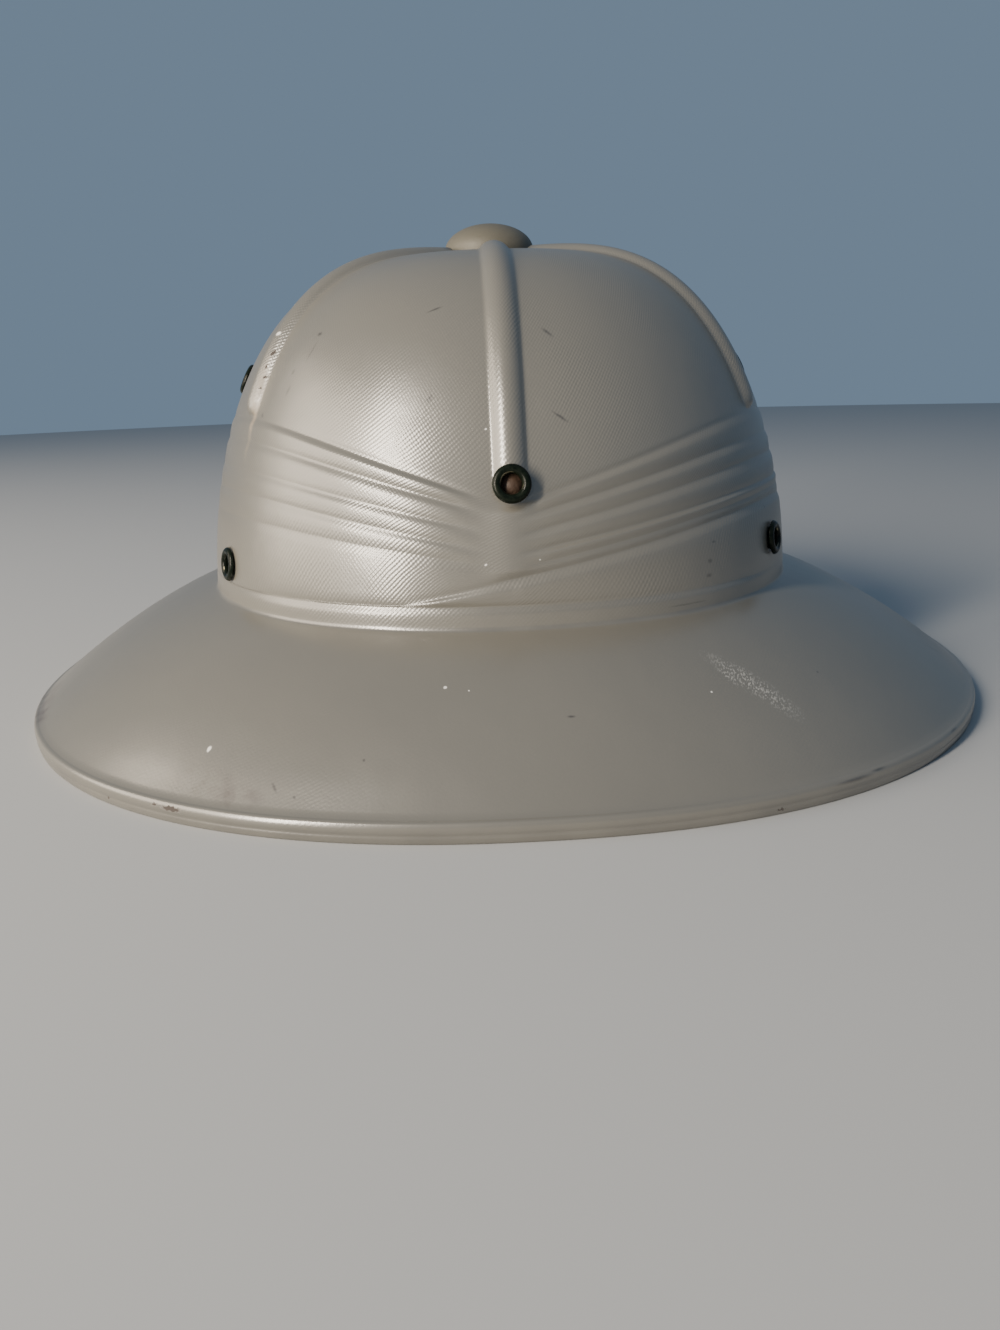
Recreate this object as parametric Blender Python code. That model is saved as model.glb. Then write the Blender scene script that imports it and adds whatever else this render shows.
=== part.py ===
"""Sun helmet moulded from pressed fibre.

One shell holds the crown, six half-round ribs, the scarf folds pressed round the crown, the
base band, the brim and its turned lip. A riveted top button, five eyelets and a leather
sweatband are separate pieces. Metres, +Z up. The lip rests on Z = 0 and the front faces -Y.

Azimuths are measured from the front towards +X, round the crown's own upright axis.
Heights on the crown are measured up from the line where crown and brim meet.
"""
import math

import bpy
import numpy as np
from mathutils import Matrix, Vector

MM = 0.001
SMALL_STEP = 1e-6  # for slopes, in metres or radians, and to keep a divisor above zero

# Crown, outside
CROWN_WIDTH = 189.6 * MM
CROWN_FRONT = 104.5 * MM
CROWN_REAR = 113.0 * MM
CROWN_HEIGHT = 99.2 * MM
CROWN_LEAN = 4.0 * MM
CROWN_SQUARENESS = 2.16
CROWN_FLARE = 0.023
SHOULDER_POWER = 1.74
SIDE_FULLNESS = 3.73
FRONT_FULLNESS = 3.57

# Brim and its lip, outside, from the crown's axis
BRIM_WIDTH = 306.2 * MM
BRIM_FRONT = 149.9 * MM
BRIM_REAR = 166.0 * MM
BRIM_SQUARENESS = 2.23
BRIM_DROP = 36.8 * MM
BRIM_ARCH = 0.47
JUNCTION_TILT = 0.8 * MM
LIP_HEIGHT = 5.2 * MM
LIP_WIDTH = 2.8 * MM
LIP_INSET = 1.6 * MM
BEAD_RISE = 0.33 * MM
# Columns: distance out from the lip's outermost line as a share of LIP_WIDTH, and level as a
# share of LIP_HEIGHT. It runs down the bead, the upright band, a groove, the foot, and back up.
LIP_TABLE = (
    ("out", "level"),
    (-0.20, 1.00),
    (-0.03, 0.84),
    (0.00, 0.60),
    (-0.13, 0.44),
    (-0.08, 0.28),
    (-0.24, 0.00),
    (-0.84, 0.00),
    (-1.00, 0.20),
    (-1.08, 0.55),
)

WALL = 2.2 * MM
CLEARANCE = 0.3 * MM

# Ribs from the button down to the folds
RIB_WIDTH = 8.5 * MM
RIB_HEIGHT = 2.3 * MM
RIB_SIDE_ANGLE = 54.0
RIB_FADE = 2.4 * MM

# Folds of the moulded scarf, highest first
FOLDS_FRONT = 31.0 * MM
FOLDS_SIDE = 53.4 * MM
FOLD_REACH = 57.0
FOLD_BOW = 1.05
FOLD_PROUD = 0.8 * MM
FOLD_CREST = 0.28
FOLD_GAP = 0.6 * MM
FOLD_MERGE = 1.8 * MM
BASE_BAND_HEIGHT = 5.2 * MM
BASE_BAND_PROUD = 0.6 * MM
# Columns: height at the front as a share of FOLDS_FRONT, height at the wearer's right and
# left sides as shares of FOLDS_SIDE, and how proud each half is as a share of FOLD_PROUD
FOLD_TABLE = (
    ("front", "right", "left", "proud_right", "proud_left"),
    (1.000, 1.000, 0.950, 1.00, 0.95),
    (0.895, 0.880, 0.820, 0.80, 0.90),
    (0.757, 0.732, 0.710, 0.70, 0.90),
    (0.610, 0.618, 0.580, 0.65, 0.95),
    (0.500, 0.489, 0.530, 0.45, 0.15),
    (0.410, -0.052, 0.487, 0.90, 1.00),
)

# Eyelets
EYELET_RADIUS = 4.95 * MM
EYELET_HOLE = 2.6 * MM
EYELET_BARREL = 3.2 * MM
EYELET_DOME = 1.15 * MM
EYELET_TAIL = 0.7 * MM
EYELET_TAIL_RADIUS = 4.1 * MM
EYELET_SIDES = 12
FLANGE_STEPS = 6
TAIL_STEPS = 5
# Columns: name, azimuth in degrees, height as a share of CROWN_HEIGHT
EYELET_TABLE = (
    ("eyelet_front", 0.0, 0.362),
    ("eyelet_low_right", -54.9, 0.116),
    ("eyelet_low_left", 51.4, 0.142),
    ("eyelet_high_right", -82.0, 0.641),
    ("eyelet_high_left", 82.0, 0.641),
)

# Top button
BUTTON_RADIUS = 14.2 * MM
BUTTON_EDGE = 1.6 * MM
BUTTON_DOME = 8.0 * MM
SHANK_RADIUS = 2.5 * MM
SHANK_TAIL_RADIUS = 4.2 * MM
SHANK_TAIL = 1.4 * MM
BUTTON_SIDES = 24
BUTTON_RINGS = 6

# Sweatband, inside the crown
SWEATBAND_FOOT = 1.5 * MM
SWEATBAND_TOP = 43.0 * MM
SWEATBAND_HEM = 5.0 * MM
SWEATBAND_THICKNESS = 1.5 * MM
SWEATBAND_STANDOFF = 1.9 * MM

# Mesh grid: columns in each of the six sectors between rib centres, and where the columns on
# a rib lie as shares of RIB_WIDTH from its centre. A rib takes no more than its share of a
# sector. Dome rows are shares of the turn from the button to the ribs' ends, base band rows
# are shares of its height, and brim rows are shares of its width. Inner dome rows are turns in
# degrees from the very top.
SECTOR_COLUMNS = 12
RIB_COLUMNS = (0.0, 0.3, 0.5)
RIB_SECTOR_SHARE = 0.4
DOME_ROWS = (0.0, 0.045, 0.11, 0.22, 0.36, 0.54, 0.76, 1.0)
BASE_BAND_ROWS = (1.0, 0.25)
BRIM_ROWS = (0.04, 0.12, 0.26, 0.42, 0.58, 0.74, 0.88, 1.0)
INNER_BRIM_ROWS = (0.93, 0.66, 0.36, 0.12)
INNER_WALL_STEPS = 5
INNER_DOME_ROWS = (55.0, 46.0, 37.0, 27.0, 17.0, 8.5, 3.0)

RIB_ANGLES = (0.0, RIB_SIDE_ANGLE, 180.0 - RIB_SIDE_ANGLE, 180.0,
              180.0 + RIB_SIDE_ANGLE, 360.0 - RIB_SIDE_ANGLE)
AXIS_Y = (BRIM_FRONT - BRIM_REAR) / 2


def plan_radius(azimuth, side, front, rear, squareness):
    """Radius of a superellipse in the direction of azimuth, with its own front and rear."""
    half = np.where(np.cos(azimuth) > 0, front, rear)
    across = np.abs(np.sin(azimuth) / side) ** squareness
    along = np.abs(np.cos(azimuth) / half) ** squareness
    return (across + along) ** (-1 / squareness)


def crown_point(azimuth, height):
    """Smooth outside of the crown: superellipse sections that close in as they rise."""
    share = np.clip(height / CROWN_HEIGHT, 0.0, 1.0)
    closing = np.clip(1 - share ** SHOULDER_POWER, 0.0, 1.0)
    flare = (1 + CROWN_FLARE * (1 - share)) / (1 + CROWN_FLARE)
    side = closing ** (1 / SIDE_FULLNESS) * flare + SMALL_STEP
    along = closing ** (1 / FRONT_FULLNESS) * flare + SMALL_STEP
    radius = plan_radius(azimuth, CROWN_WIDTH / 2 * side, CROWN_FRONT * along,
                         CROWN_REAR * along, CROWN_SQUARENESS)
    tilt = JUNCTION_TILT * np.cos(azimuth) * (1 - share)
    return np.stack([radius * np.sin(azimuth),
                     AXIS_Y - radius * np.cos(azimuth) - CROWN_LEAN * share,
                     BRIM_DROP + height + tilt], axis=-1)


def from_crown_axis(point, height):
    """Distance of a point on the crown from its leaning axis."""
    return np.hypot(point[..., 0], point[..., 1] - AXIS_Y + CROWN_LEAN * height / CROWN_HEIGHT)


def edge_radius(azimuth):
    """Radius of the lip's outermost line."""
    return plan_radius(azimuth, BRIM_WIDTH / 2, BRIM_FRONT, BRIM_REAR, BRIM_SQUARENESS)


def from_axis(azimuth, radius, level):
    """Point at a radius from the crown's axis and a level above the resting plane."""
    return np.stack([radius * np.sin(azimuth), AXIS_Y - radius * np.cos(azimuth),
                     level + 0 * radius], axis=-1)


def brim_point(azimuth, share):
    """Top of the brim, from the crown (share 0) to the lip (share 1), arched as it falls."""
    start = crown_point(azimuth, 0 * azimuth)
    inner = np.hypot(start[..., 0], start[..., 1] - AXIS_Y)
    outer = edge_radius(azimuth) - LIP_INSET
    fall = share + BRIM_ARCH * (share ** 2 - share)
    level = start[..., 2] + (LIP_HEIGHT + BEAD_RISE - start[..., 2]) * fall
    return from_axis(azimuth, inner + (outer - inner) * share, level)


def crown_normal(azimuth, height):
    """Outward unit normal of the smooth crown, from small steps round and up."""
    step = SMALL_STEP
    around = crown_point(azimuth + step, height) - crown_point(azimuth - step, height)
    upward = crown_point(azimuth, height + step) - crown_point(azimuth, height - step)
    normal = np.cross(around, upward)
    return normal / np.linalg.norm(normal, axis=-1, keepdims=True)


def brim_normal(azimuth, share):
    """Upward unit normal of the brim, from small steps out and round."""
    step = SMALL_STEP
    outward = brim_point(azimuth, share + step) - brim_point(azimuth, share - step)
    around = brim_point(azimuth + step, share) - brim_point(azimuth - step, share)
    normal = np.cross(outward, around)
    return normal / np.linalg.norm(normal, axis=-1, keepdims=True)


def signed_azimuth(azimuth):
    """Azimuth brought to the range from -180 to 180 degrees, still in radians."""
    return (azimuth + math.pi) % (2 * math.pi) - math.pi


def fold_lines(azimuth):
    """Height and proudness of every fold: each rises from the front V to its side height.

    The rise follows a bowed sine up to FOLD_REACH and is level behind it, where the two
    sides meet in an even blend at the rear.
    """
    turn = signed_azimuth(azimuth)
    reach = np.radians(FOLD_REACH)
    rise = np.sin(np.clip(np.abs(turn) / reach, 0, 1) * math.pi / 2) ** FOLD_BOW
    back = np.clip((np.abs(turn) - reach) / (math.pi - reach), 0, 1) / 2
    on_left = np.where(turn > 0, 1 - back, back)
    foot = BASE_BAND_HEIGHT + 2 * FOLD_GAP
    heights, proud = [], []
    for row in FOLD_TABLE[1:]:
        fold = dict(zip(FOLD_TABLE[0], row))
        side = fold["right"] + (fold["left"] - fold["right"]) * on_left
        height = fold["front"] * FOLDS_FRONT * (1 - rise) + side * FOLDS_SIDE * rise
        strength = fold["proud_right"] + (fold["proud_left"] - fold["proud_right"]) * on_left
        merge = np.clip((height - foot) / FOLD_MERGE, 0, 1)
        heights.append(np.maximum(height, foot))
        proud.append(strength * FOLD_PROUD * merge)
    return heights, proud


def fold_floor(azimuth, index):
    """Height where a fold's lower face ends: the next fold's crease or the base band."""
    heights, _ = fold_lines(azimuth)
    if index + 1 < len(heights):
        return heights[index + 1]
    return BASE_BAND_HEIGHT + FOLD_GAP + 0 * azimuth


def relief(azimuth, height):
    """How far the folds and the base band stand out of the smooth crown."""
    heights, proud = fold_lines(azimuth)
    total = 0 * azimuth + 0 * height
    for index, (top, amount) in enumerate(zip(heights, proud)):
        low = fold_floor(azimuth, index)
        down = (top - height) / np.maximum(top - low, SMALL_STEP)
        shape = np.minimum(down / FOLD_CREST, (1 - down) / (1 - FOLD_CREST))
        total = total + amount * np.clip(shape, 0, 1)
    band = (BASE_BAND_HEIGHT + FOLD_GAP - height) / FOLD_GAP
    return total + BASE_BAND_PROUD * np.clip(band, 0, 1)


def rib_end(azimuth):
    """Height where the ribs end, just over the top fold."""
    return fold_lines(azimuth)[0][0] + FOLD_GAP


def rib_columns(radii):
    """Azimuths of all columns: five on each rib at fixed distances, the rest even between."""
    offsets = [share * RIB_WIDTH for share in RIB_COLUMNS]
    even_count = SECTOR_COLUMNS + 1 - 2 * len(RIB_COLUMNS)
    centres = np.radians(RIB_ANGLES + (360.0,))
    azimuths = []
    for sector in range(len(RIB_ANGLES)):
        start, end = centres[sector], centres[sector + 1]
        limit = (end - start) * RIB_SECTOR_SHARE
        near = [start + min(o / radii[sector], limit) for o in offsets]
        next_radius = radii[(sector + 1) % len(RIB_ANGLES)]
        far = [end - min(o / next_radius, limit) for o in offsets[:0:-1]]
        between = np.linspace(near[-1], far[0], even_count + 2)[1:-1]
        azimuths.extend(list(near) + list(between) + list(far))
    return np.array(azimuths)


def even_columns():
    """Azimuths of the same columns, evenly spaced inside each sector."""
    centres = np.radians(RIB_ANGLES + (360.0,))
    rows = [np.linspace(centres[i], centres[i + 1], SECTOR_COLUMNS, endpoint=False)
            for i in range(len(RIB_ANGLES))]
    return np.concatenate(rows)


def rib_relief(azimuth, height, radius):
    """Half-round rib across, full on the dome, gone at the button and at the rib's end."""
    centres = np.radians(RIB_ANGLES)
    away = np.abs(signed_azimuth(azimuth[:, None] - centres[None, :])).min(axis=1)
    across = np.clip(2 * away * radius / RIB_WIDTH, 0, 1)
    end = rib_end(azimuth)
    low_fade = np.clip((height - end) / RIB_FADE, 0, 1)
    top_fade = np.clip((radius - BUTTON_RADIUS - CLEARANCE) / RIB_FADE, 0, 1)
    return RIB_HEIGHT * np.sqrt(1 - across ** 2) * np.minimum(low_fade, top_fade)


def crown_row(height_at, spread):
    """One row of the outer crown. spread 0 keeps columns on the ribs, 1 spaces them evenly."""
    rib_azimuths = np.radians(RIB_ANGLES)
    rib_heights = height_at(rib_azimuths)
    radii = from_crown_axis(crown_point(rib_azimuths, rib_heights), rib_heights)
    azimuth = rib_columns(radii) * (1 - spread) + even_columns() * spread
    height = height_at(azimuth)
    point = crown_point(azimuth, height)
    ribs = rib_relief(azimuth, height, from_crown_axis(point, height))
    out = relief(azimuth, height) + ribs
    return point + crown_normal(azimuth, height) * out[:, None]


def dome_turn(height):
    """Angle of a height on the dome: 0 at the very top, a quarter turn at the brim."""
    return np.arccos(np.clip(height / CROWN_HEIGHT, 0, 1) ** (SHOULDER_POWER / 2))


def height_at_radius(azimuth, radius):
    """Height where the smooth crown has a given radius, found by halving the interval."""
    halvings = 60
    low, high = 0 * azimuth, CROWN_HEIGHT + 0 * azimuth
    for _ in range(halvings):
        middle = (low + high) / 2
        outside = from_crown_axis(crown_point(azimuth, middle), middle) > radius
        low, high = np.where(outside, middle, low), np.where(outside, high, middle)
    return (low + high) / 2


def shank_rim(level):
    """Rim of the hole that the button's shank passes through."""
    azimuth = even_columns()
    radius = SHANK_RADIUS + CLEARANCE + 0 * azimuth
    rim = from_axis(azimuth, radius, level)
    rim[:, 1] -= CROWN_LEAN
    return rim


def outer_rows():
    """Rows of the outside, from the button's hole down to the lip's start."""
    top = BRIM_DROP + CROWN_HEIGHT
    rows = [shank_rim(top)]
    rim = BUTTON_RADIUS + CLEARANCE
    rows.append(crown_row(lambda azimuth: height_at_radius(azimuth, rim), 0.0))
    for share in DOME_ROWS:
        def dome_height(azimuth, s=share):
            start = dome_turn(height_at_radius(azimuth, rim + RIB_FADE))
            end = dome_turn(rib_end(azimuth) + RIB_FADE)
            turn = start + (end - start) * s
            return CROWN_HEIGHT * np.cos(turn) ** (2 / SHOULDER_POWER)

        rows.append(crown_row(dome_height, 0.0))
    rows.append(crown_row(rib_end, 0.0))
    count = len(FOLD_TABLE) - 1
    for index in range(count):
        def crease(azimuth, k=index):
            return fold_lines(azimuth)[0][k]

        def crest(azimuth, k=index):
            top_line = fold_lines(azimuth)[0][k]
            return top_line - FOLD_CREST * (top_line - fold_floor(azimuth, k))

        spread = index / count
        rows.append(crown_row(crease, spread))
        rows.append(crown_row(crest, spread))
    band_levels = [share * BASE_BAND_HEIGHT for share in BASE_BAND_ROWS]
    for band_level in [BASE_BAND_HEIGHT + FOLD_GAP] + band_levels:
        rows.append(crown_row(lambda azimuth, h=band_level: h + 0 * azimuth, 1.0))
    azimuth = even_columns()
    rows.extend(brim_point(azimuth, share + 0 * azimuth) for share in BRIM_ROWS)
    return rows


def lip_rows():
    """Rows of the turned lip, a level line round the brim for each row of LIP_TABLE."""
    azimuth = even_columns()
    edge = edge_radius(azimuth)
    return [from_axis(azimuth, edge + out * LIP_WIDTH, level * LIP_HEIGHT)
            for out, level in LIP_TABLE[1:]]


def inner_rows():
    """Rows of the underside and the hollow, one wall inside the smooth outside."""
    azimuth = even_columns()
    rows = []
    for share in INNER_BRIM_ROWS:
        shares = share + 0 * azimuth
        rows.append(brim_point(azimuth, shares) - WALL * brim_normal(azimuth, shares))
    base = crown_point(azimuth, 0 * azimuth)
    corner = WALL / math.sqrt(2)
    corner_radius = from_crown_axis(base, 0) - corner
    rows.append(from_axis(azimuth, corner_radius, base[:, 2] - corner))
    hem_top = SWEATBAND_FOOT + SWEATBAND_HEM
    behind_band = np.linspace(hem_top + FOLD_GAP, SWEATBAND_TOP, INNER_WALL_STEPS)
    turns = np.radians(INNER_DOME_ROWS)
    dome = CROWN_HEIGHT * np.cos(turns) ** (2 / SHOULDER_POWER)
    for level in [SWEATBAND_FOOT, *behind_band, *dome]:
        level = level + 0 * azimuth
        rows.append(crown_point(azimuth, level) - WALL * crown_normal(azimuth, level))
    rows.append(shank_rim(BRIM_DROP + CROWN_HEIGHT - WALL))
    return rows


def grid_mesh(name, rows):
    """Mesh from closed rings of points; the rings also close on themselves, last to first."""
    points = np.array(rows)
    ring_count, column_count = points.shape[:2]
    ring, column = np.meshgrid(np.arange(ring_count), np.arange(column_count), indexing="ij")
    below, beside = (ring + 1) % ring_count, (column + 1) % column_count
    corners = ((ring, column), (below, column), (below, beside), (ring, beside))
    faces = np.stack([r * column_count + c for r, c in corners], axis=-1).reshape(-1, 4)
    mesh = bpy.data.meshes.new(name)
    mesh.from_pydata(points.reshape(-1, 3).tolist(), [], faces.tolist())
    mesh.update()
    return mesh


def turned_rings(profile, sides):
    """Rings of points for a profile of (radius, level) pairs turned about the Z axis."""
    turn = np.linspace(0, 2 * math.pi, sides, endpoint=False)
    return [np.stack([radius * np.cos(turn), radius * np.sin(turn), level + 0 * turn], axis=-1)
            for radius, level in profile]


def half_ellipse(start, end, level, rise, points):
    """Profile of (radius, level) pairs on a half ellipse, from one radius to another."""
    turn = np.linspace(0, math.pi, points)
    radii = (start + end) / 2 + (start - end) / 2 * np.cos(turn)
    return list(zip(radii, level + rise * np.sin(turn)))


def paint(name, colour, roughness, metallic=0.0):
    """Plain material in the piece's own colour."""
    material = bpy.data.materials.new(name)
    material.use_nodes = True
    shader = material.node_tree.nodes["Principled BSDF"]
    shader.inputs["Base Color"].default_value = (*colour, 1.0)
    shader.inputs["Roughness"].default_value = roughness
    shader.inputs["Metallic"].default_value = metallic
    return material


def add_piece(mesh, material, parent, place=None):
    """Object for one piece, shaded smooth, with its creases kept sharp."""
    piece = bpy.data.objects.new(mesh.name, mesh)
    bpy.context.scene.collection.objects.link(piece)
    if material:
        mesh.materials.append(material)
    mesh.shade_smooth()
    mesh.set_sharp_from_angle(angle=math.radians(35))
    piece.parent = parent
    if place is not None:
        piece.matrix_world = place
    return piece


def eyelet_seat(azimuth_deg, height_share):
    """Where an eyelet sits: its flange's plane, its tail's depth below it, and its frame.

    The plane clears the highest point of the skin under the flange, and the tail clears the
    innermost point of the wall behind it.
    """
    centre_azimuth = np.array([math.radians(azimuth_deg)])
    centre_height = np.array([height_share * CROWN_HEIGHT])
    centre = crown_point(centre_azimuth, centre_height)[0]
    normal = crown_normal(centre_azimuth, centre_height)[0]
    radius = math.hypot(centre[0], centre[1] - AXIS_Y)
    turn = np.linspace(0, 2 * math.pi, 2 * EYELET_SIDES, endpoint=False)
    spans = np.concatenate([0 * turn, EYELET_BARREL + 0 * turn, EYELET_RADIUS + 0 * turn])
    turns = np.tile(turn, 3)
    azimuth = centre_azimuth + spans * np.cos(turns) / radius
    height = centre_height + spans * np.sin(turns)
    smooth = crown_point(azimuth, height)
    normals = crown_normal(azimuth, height)
    ribs = rib_relief(azimuth, height, from_crown_axis(smooth, height))
    skin = smooth + normals * (relief(azimuth, height) + ribs)[:, None]
    inside = smooth - normals * WALL
    flange = ((skin - centre) @ normal).max() + CLEARANCE
    tail = ((inside - centre) @ normal).min() - CLEARANCE
    upright = Vector(normal)
    sideways = Vector((0, 0, 1)).cross(upright).normalized()
    frame = Matrix((sideways, upright.cross(sideways), upright)).transposed().to_4x4()
    frame.translation = Vector(centre + normal * flange)
    return frame, flange - tail


def make_shell(parent, seats):
    """The moulded shell, drilled for the eyelets' barrels."""
    mesh = grid_mesh("shell", outer_rows() + lip_rows() + inner_rows())
    shell = add_piece(mesh, paint("taupe_paint", (0.30, 0.28, 0.24), 0.42), parent)
    for name, (frame, depth) in seats.items():
        reach = depth + 2 * WALL
        drill_radius = EYELET_BARREL + CLEARANCE
        rings = turned_rings(((drill_radius, WALL), (drill_radius, -reach)), EYELET_SIDES)
        cutter_mesh = closed_cylinder(name + "_drill", *rings)
        cutter = add_piece(cutter_mesh, None, parent, frame)
        cutter.hide_render = True
        cutter.display_type = "WIRE"
        drill = shell.modifiers.new(name + "_hole", "BOOLEAN")
        drill.operation = "DIFFERENCE"
        drill.solver = "EXACT"
        drill.object = cutter
    return shell


def closed_cylinder(name, top_ring, bottom_ring):
    """Cylinder between two rings, with a flat cap on each."""
    sides = len(top_ring)
    points = np.concatenate([top_ring, bottom_ring])
    walls = [(i, i + sides, (i + 1) % sides + sides, (i + 1) % sides) for i in range(sides)]
    caps = [tuple(range(sides)), tuple(range(2 * sides - 1, sides - 1, -1))]
    mesh = bpy.data.meshes.new(name)
    mesh.from_pydata(points.tolist(), [], walls + caps)
    mesh.update()
    return mesh


def make_eyelet(name, frame, depth, material, parent):
    """Rolled eyelet: domed flange outside, barrel through the wall, curled tail inside."""
    barrel = [(EYELET_BARREL, 0.0), (EYELET_BARREL, -depth)]
    tail = half_ellipse(EYELET_TAIL_RADIUS, EYELET_HOLE, -depth, -EYELET_TAIL, TAIL_STEPS)
    flange = half_ellipse(EYELET_HOLE, EYELET_RADIUS, 0.0, EYELET_DOME, FLANGE_STEPS)
    mesh = grid_mesh(name, turned_rings(barrel + tail + flange, EYELET_SIDES))
    return add_piece(mesh, material, parent, frame)


def make_button(parent):
    """Domed top button with a plain shank through the crown, spread inside like a rivet."""
    rise = np.radians(np.linspace(0, 90, BUTTON_RINGS))
    dome = [(BUTTON_RADIUS * math.cos(a), BUTTON_EDGE + BUTTON_DOME * math.sin(a)) for a in rise]
    under = -WALL - 2 * CLEARANCE
    foot = [
        (SHANK_TAIL_RADIUS, under - SHANK_TAIL),
        (SHANK_TAIL_RADIUS, under),
        (SHANK_RADIUS, under),
        (SHANK_RADIUS, 0.0),
        (BUTTON_RADIUS - BUTTON_EDGE / 2, 0.0),
        (BUTTON_RADIUS, BUTTON_EDGE / 2),
    ]
    rings = turned_rings(foot + dome[:-1], BUTTON_SIDES)
    sides = BUTTON_SIDES
    points = np.concatenate(rings + [[[0, 0, dome[-1][1]]], [[0, 0, foot[0][1]]]])
    faces = []
    for ring in range(len(rings) - 1):
        for i in range(sides):
            j = (i + 1) % sides
            low, high = ring * sides, (ring + 1) * sides
            faces.append((low + i, low + j, high + j, high + i))
    crest, tail = len(points) - 2, len(points) - 1
    last = (len(rings) - 1) * sides
    faces += [(last + i, last + (i + 1) % sides, crest) for i in range(sides)]
    faces += [((i + 1) % sides, i, tail) for i in range(sides)]
    mesh = bpy.data.meshes.new("top_button")
    mesh.from_pydata(points.tolist(), [], faces)
    mesh.update()
    seat = Matrix.Translation((0, AXIS_Y - CROWN_LEAN, BRIM_DROP + CROWN_HEIGHT + CLEARANCE))
    return add_piece(mesh, paint("button_paint", (0.32, 0.29, 0.22), 0.55), parent, seat)


def make_sweatband(parent):
    """Leather band: its folded hem lies on the wall, and it stands off the wall above it."""
    azimuth = even_columns()[::2]
    hem_top = SWEATBAND_FOOT + SWEATBAND_HEM
    free_foot = hem_top + SWEATBAND_STANDOFF
    middle = (free_foot + SWEATBAND_TOP) / 2
    free_levels = [free_foot, middle, SWEATBAND_TOP]
    outside = [(CLEARANCE, SWEATBAND_FOOT), (CLEARANCE, hem_top)]
    outside += [(SWEATBAND_STANDOFF, level) for level in free_levels]
    inset_inside = SWEATBAND_STANDOFF + SWEATBAND_THICKNESS
    inside = [(inset_inside, level) for level in free_levels[::-1] + [SWEATBAND_FOOT]]
    rings = []
    for inset, level in outside + inside:
        height = level + 0 * azimuth
        inward = crown_normal(azimuth, height) * (WALL + inset)
        rings.append(crown_point(azimuth, height) - inward)
    mesh = grid_mesh("sweatband", rings[::-1])
    return add_piece(mesh, paint("band_leather", (0.20, 0.11, 0.06), 0.6), parent)


def build():
    """Clear the scene and model the helmet."""
    for old in list(bpy.data.objects):
        bpy.data.objects.remove(old, do_unlink=True)
    helmet = bpy.data.objects.new("helmet", None)
    bpy.context.scene.collection.objects.link(helmet)
    seats = {name: eyelet_seat(azimuth, share) for name, azimuth, share in EYELET_TABLE}
    make_shell(helmet, seats)
    enamel = paint("eyelet_enamel", (0.02, 0.03, 0.02), 0.3, 0.6)
    for name, (frame, depth) in seats.items():
        make_eyelet(name, frame, depth, enamel, helmet)
    make_button(helmet)
    make_sweatband(helmet)


build()
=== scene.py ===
"""Looks of a sun helmet moulded from pressed fibre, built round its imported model.

The shell is one fine grid that follows the same formulas as the solid model: a superellipse
crown, six half-round ribs, the folds of a moulded scarf, a base band, the brim and a turned
lip. Azimuths run from the front towards +X round the crown's axis, and heights on the crown
run up from the line where crown and brim meet. Metres, +Z up, front towards -Y.
"""

import math

import bpy
import numpy as np
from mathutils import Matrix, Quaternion, Vector


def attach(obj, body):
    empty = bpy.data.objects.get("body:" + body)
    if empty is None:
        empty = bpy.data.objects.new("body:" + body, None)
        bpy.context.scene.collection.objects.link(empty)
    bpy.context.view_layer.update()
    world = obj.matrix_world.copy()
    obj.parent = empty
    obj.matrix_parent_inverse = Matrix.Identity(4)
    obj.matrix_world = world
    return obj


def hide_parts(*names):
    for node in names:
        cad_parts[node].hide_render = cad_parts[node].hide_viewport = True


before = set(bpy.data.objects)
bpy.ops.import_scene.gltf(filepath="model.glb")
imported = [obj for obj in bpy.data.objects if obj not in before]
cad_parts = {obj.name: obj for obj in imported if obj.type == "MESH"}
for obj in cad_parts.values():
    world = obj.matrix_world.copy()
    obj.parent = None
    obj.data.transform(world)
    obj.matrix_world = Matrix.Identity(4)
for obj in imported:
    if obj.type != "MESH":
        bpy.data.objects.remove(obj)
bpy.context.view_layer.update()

MM = 0.001
SMALL_STEP = 1e-6

# Crown, outside
CROWN_WIDTH = 189.6 * MM
CROWN_FRONT = 104.5 * MM
CROWN_REAR = 113.0 * MM
CROWN_HEIGHT = 99.2 * MM
CROWN_LEAN = 4.0 * MM
CROWN_SQUARENESS = 2.16
CROWN_FLARE = 0.023
SHOULDER_POWER = 1.74
SIDE_FULLNESS = 3.73
FRONT_FULLNESS = 3.57

# Brim, outside, and its wall
BRIM_WIDTH = 306.2 * MM
BRIM_FRONT = 149.9 * MM
BRIM_REAR = 166.0 * MM
BRIM_SQUARENESS = 2.23
BRIM_DROP = 36.8 * MM
BRIM_ARCH = 0.47
JUNCTION_TILT = 0.8 * MM
FILLET_UP = 0.9 * MM
FILLET_OUT = 1.2 * MM
WALL = 2.2 * MM
CLEARANCE = 0.3 * MM

# The crown's axis along Y, from the middle of the brim's length
AXIS_Y = (BRIM_FRONT - BRIM_REAR) / 2

# Turned lip: a bead on its crest, a shallow valley inside the bead, and its outline
LIP_HEIGHT = 5.2 * MM
LIP_WIDTH = 2.8 * MM
LIP_INSET = 1.6 * MM
BEAD_RISE = 0.33 * MM
VALLEY_DEPTH = 0.12 * MM
VALLEY_INSET = 4.2 * MM
VALLEY_WIDTH = 2.4 * MM
LIP_TABLE = (
    ("out", "level"),
    (-0.20, 1.00),
    (-0.03, 0.84),
    (0.00, 0.60),
    (-0.08, 0.44),
    (-0.05, 0.28),
    (-0.24, 0.00),
    (-0.84, 0.00),
    (-1.00, 0.20),
    (-1.08, 0.55),
)

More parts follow.
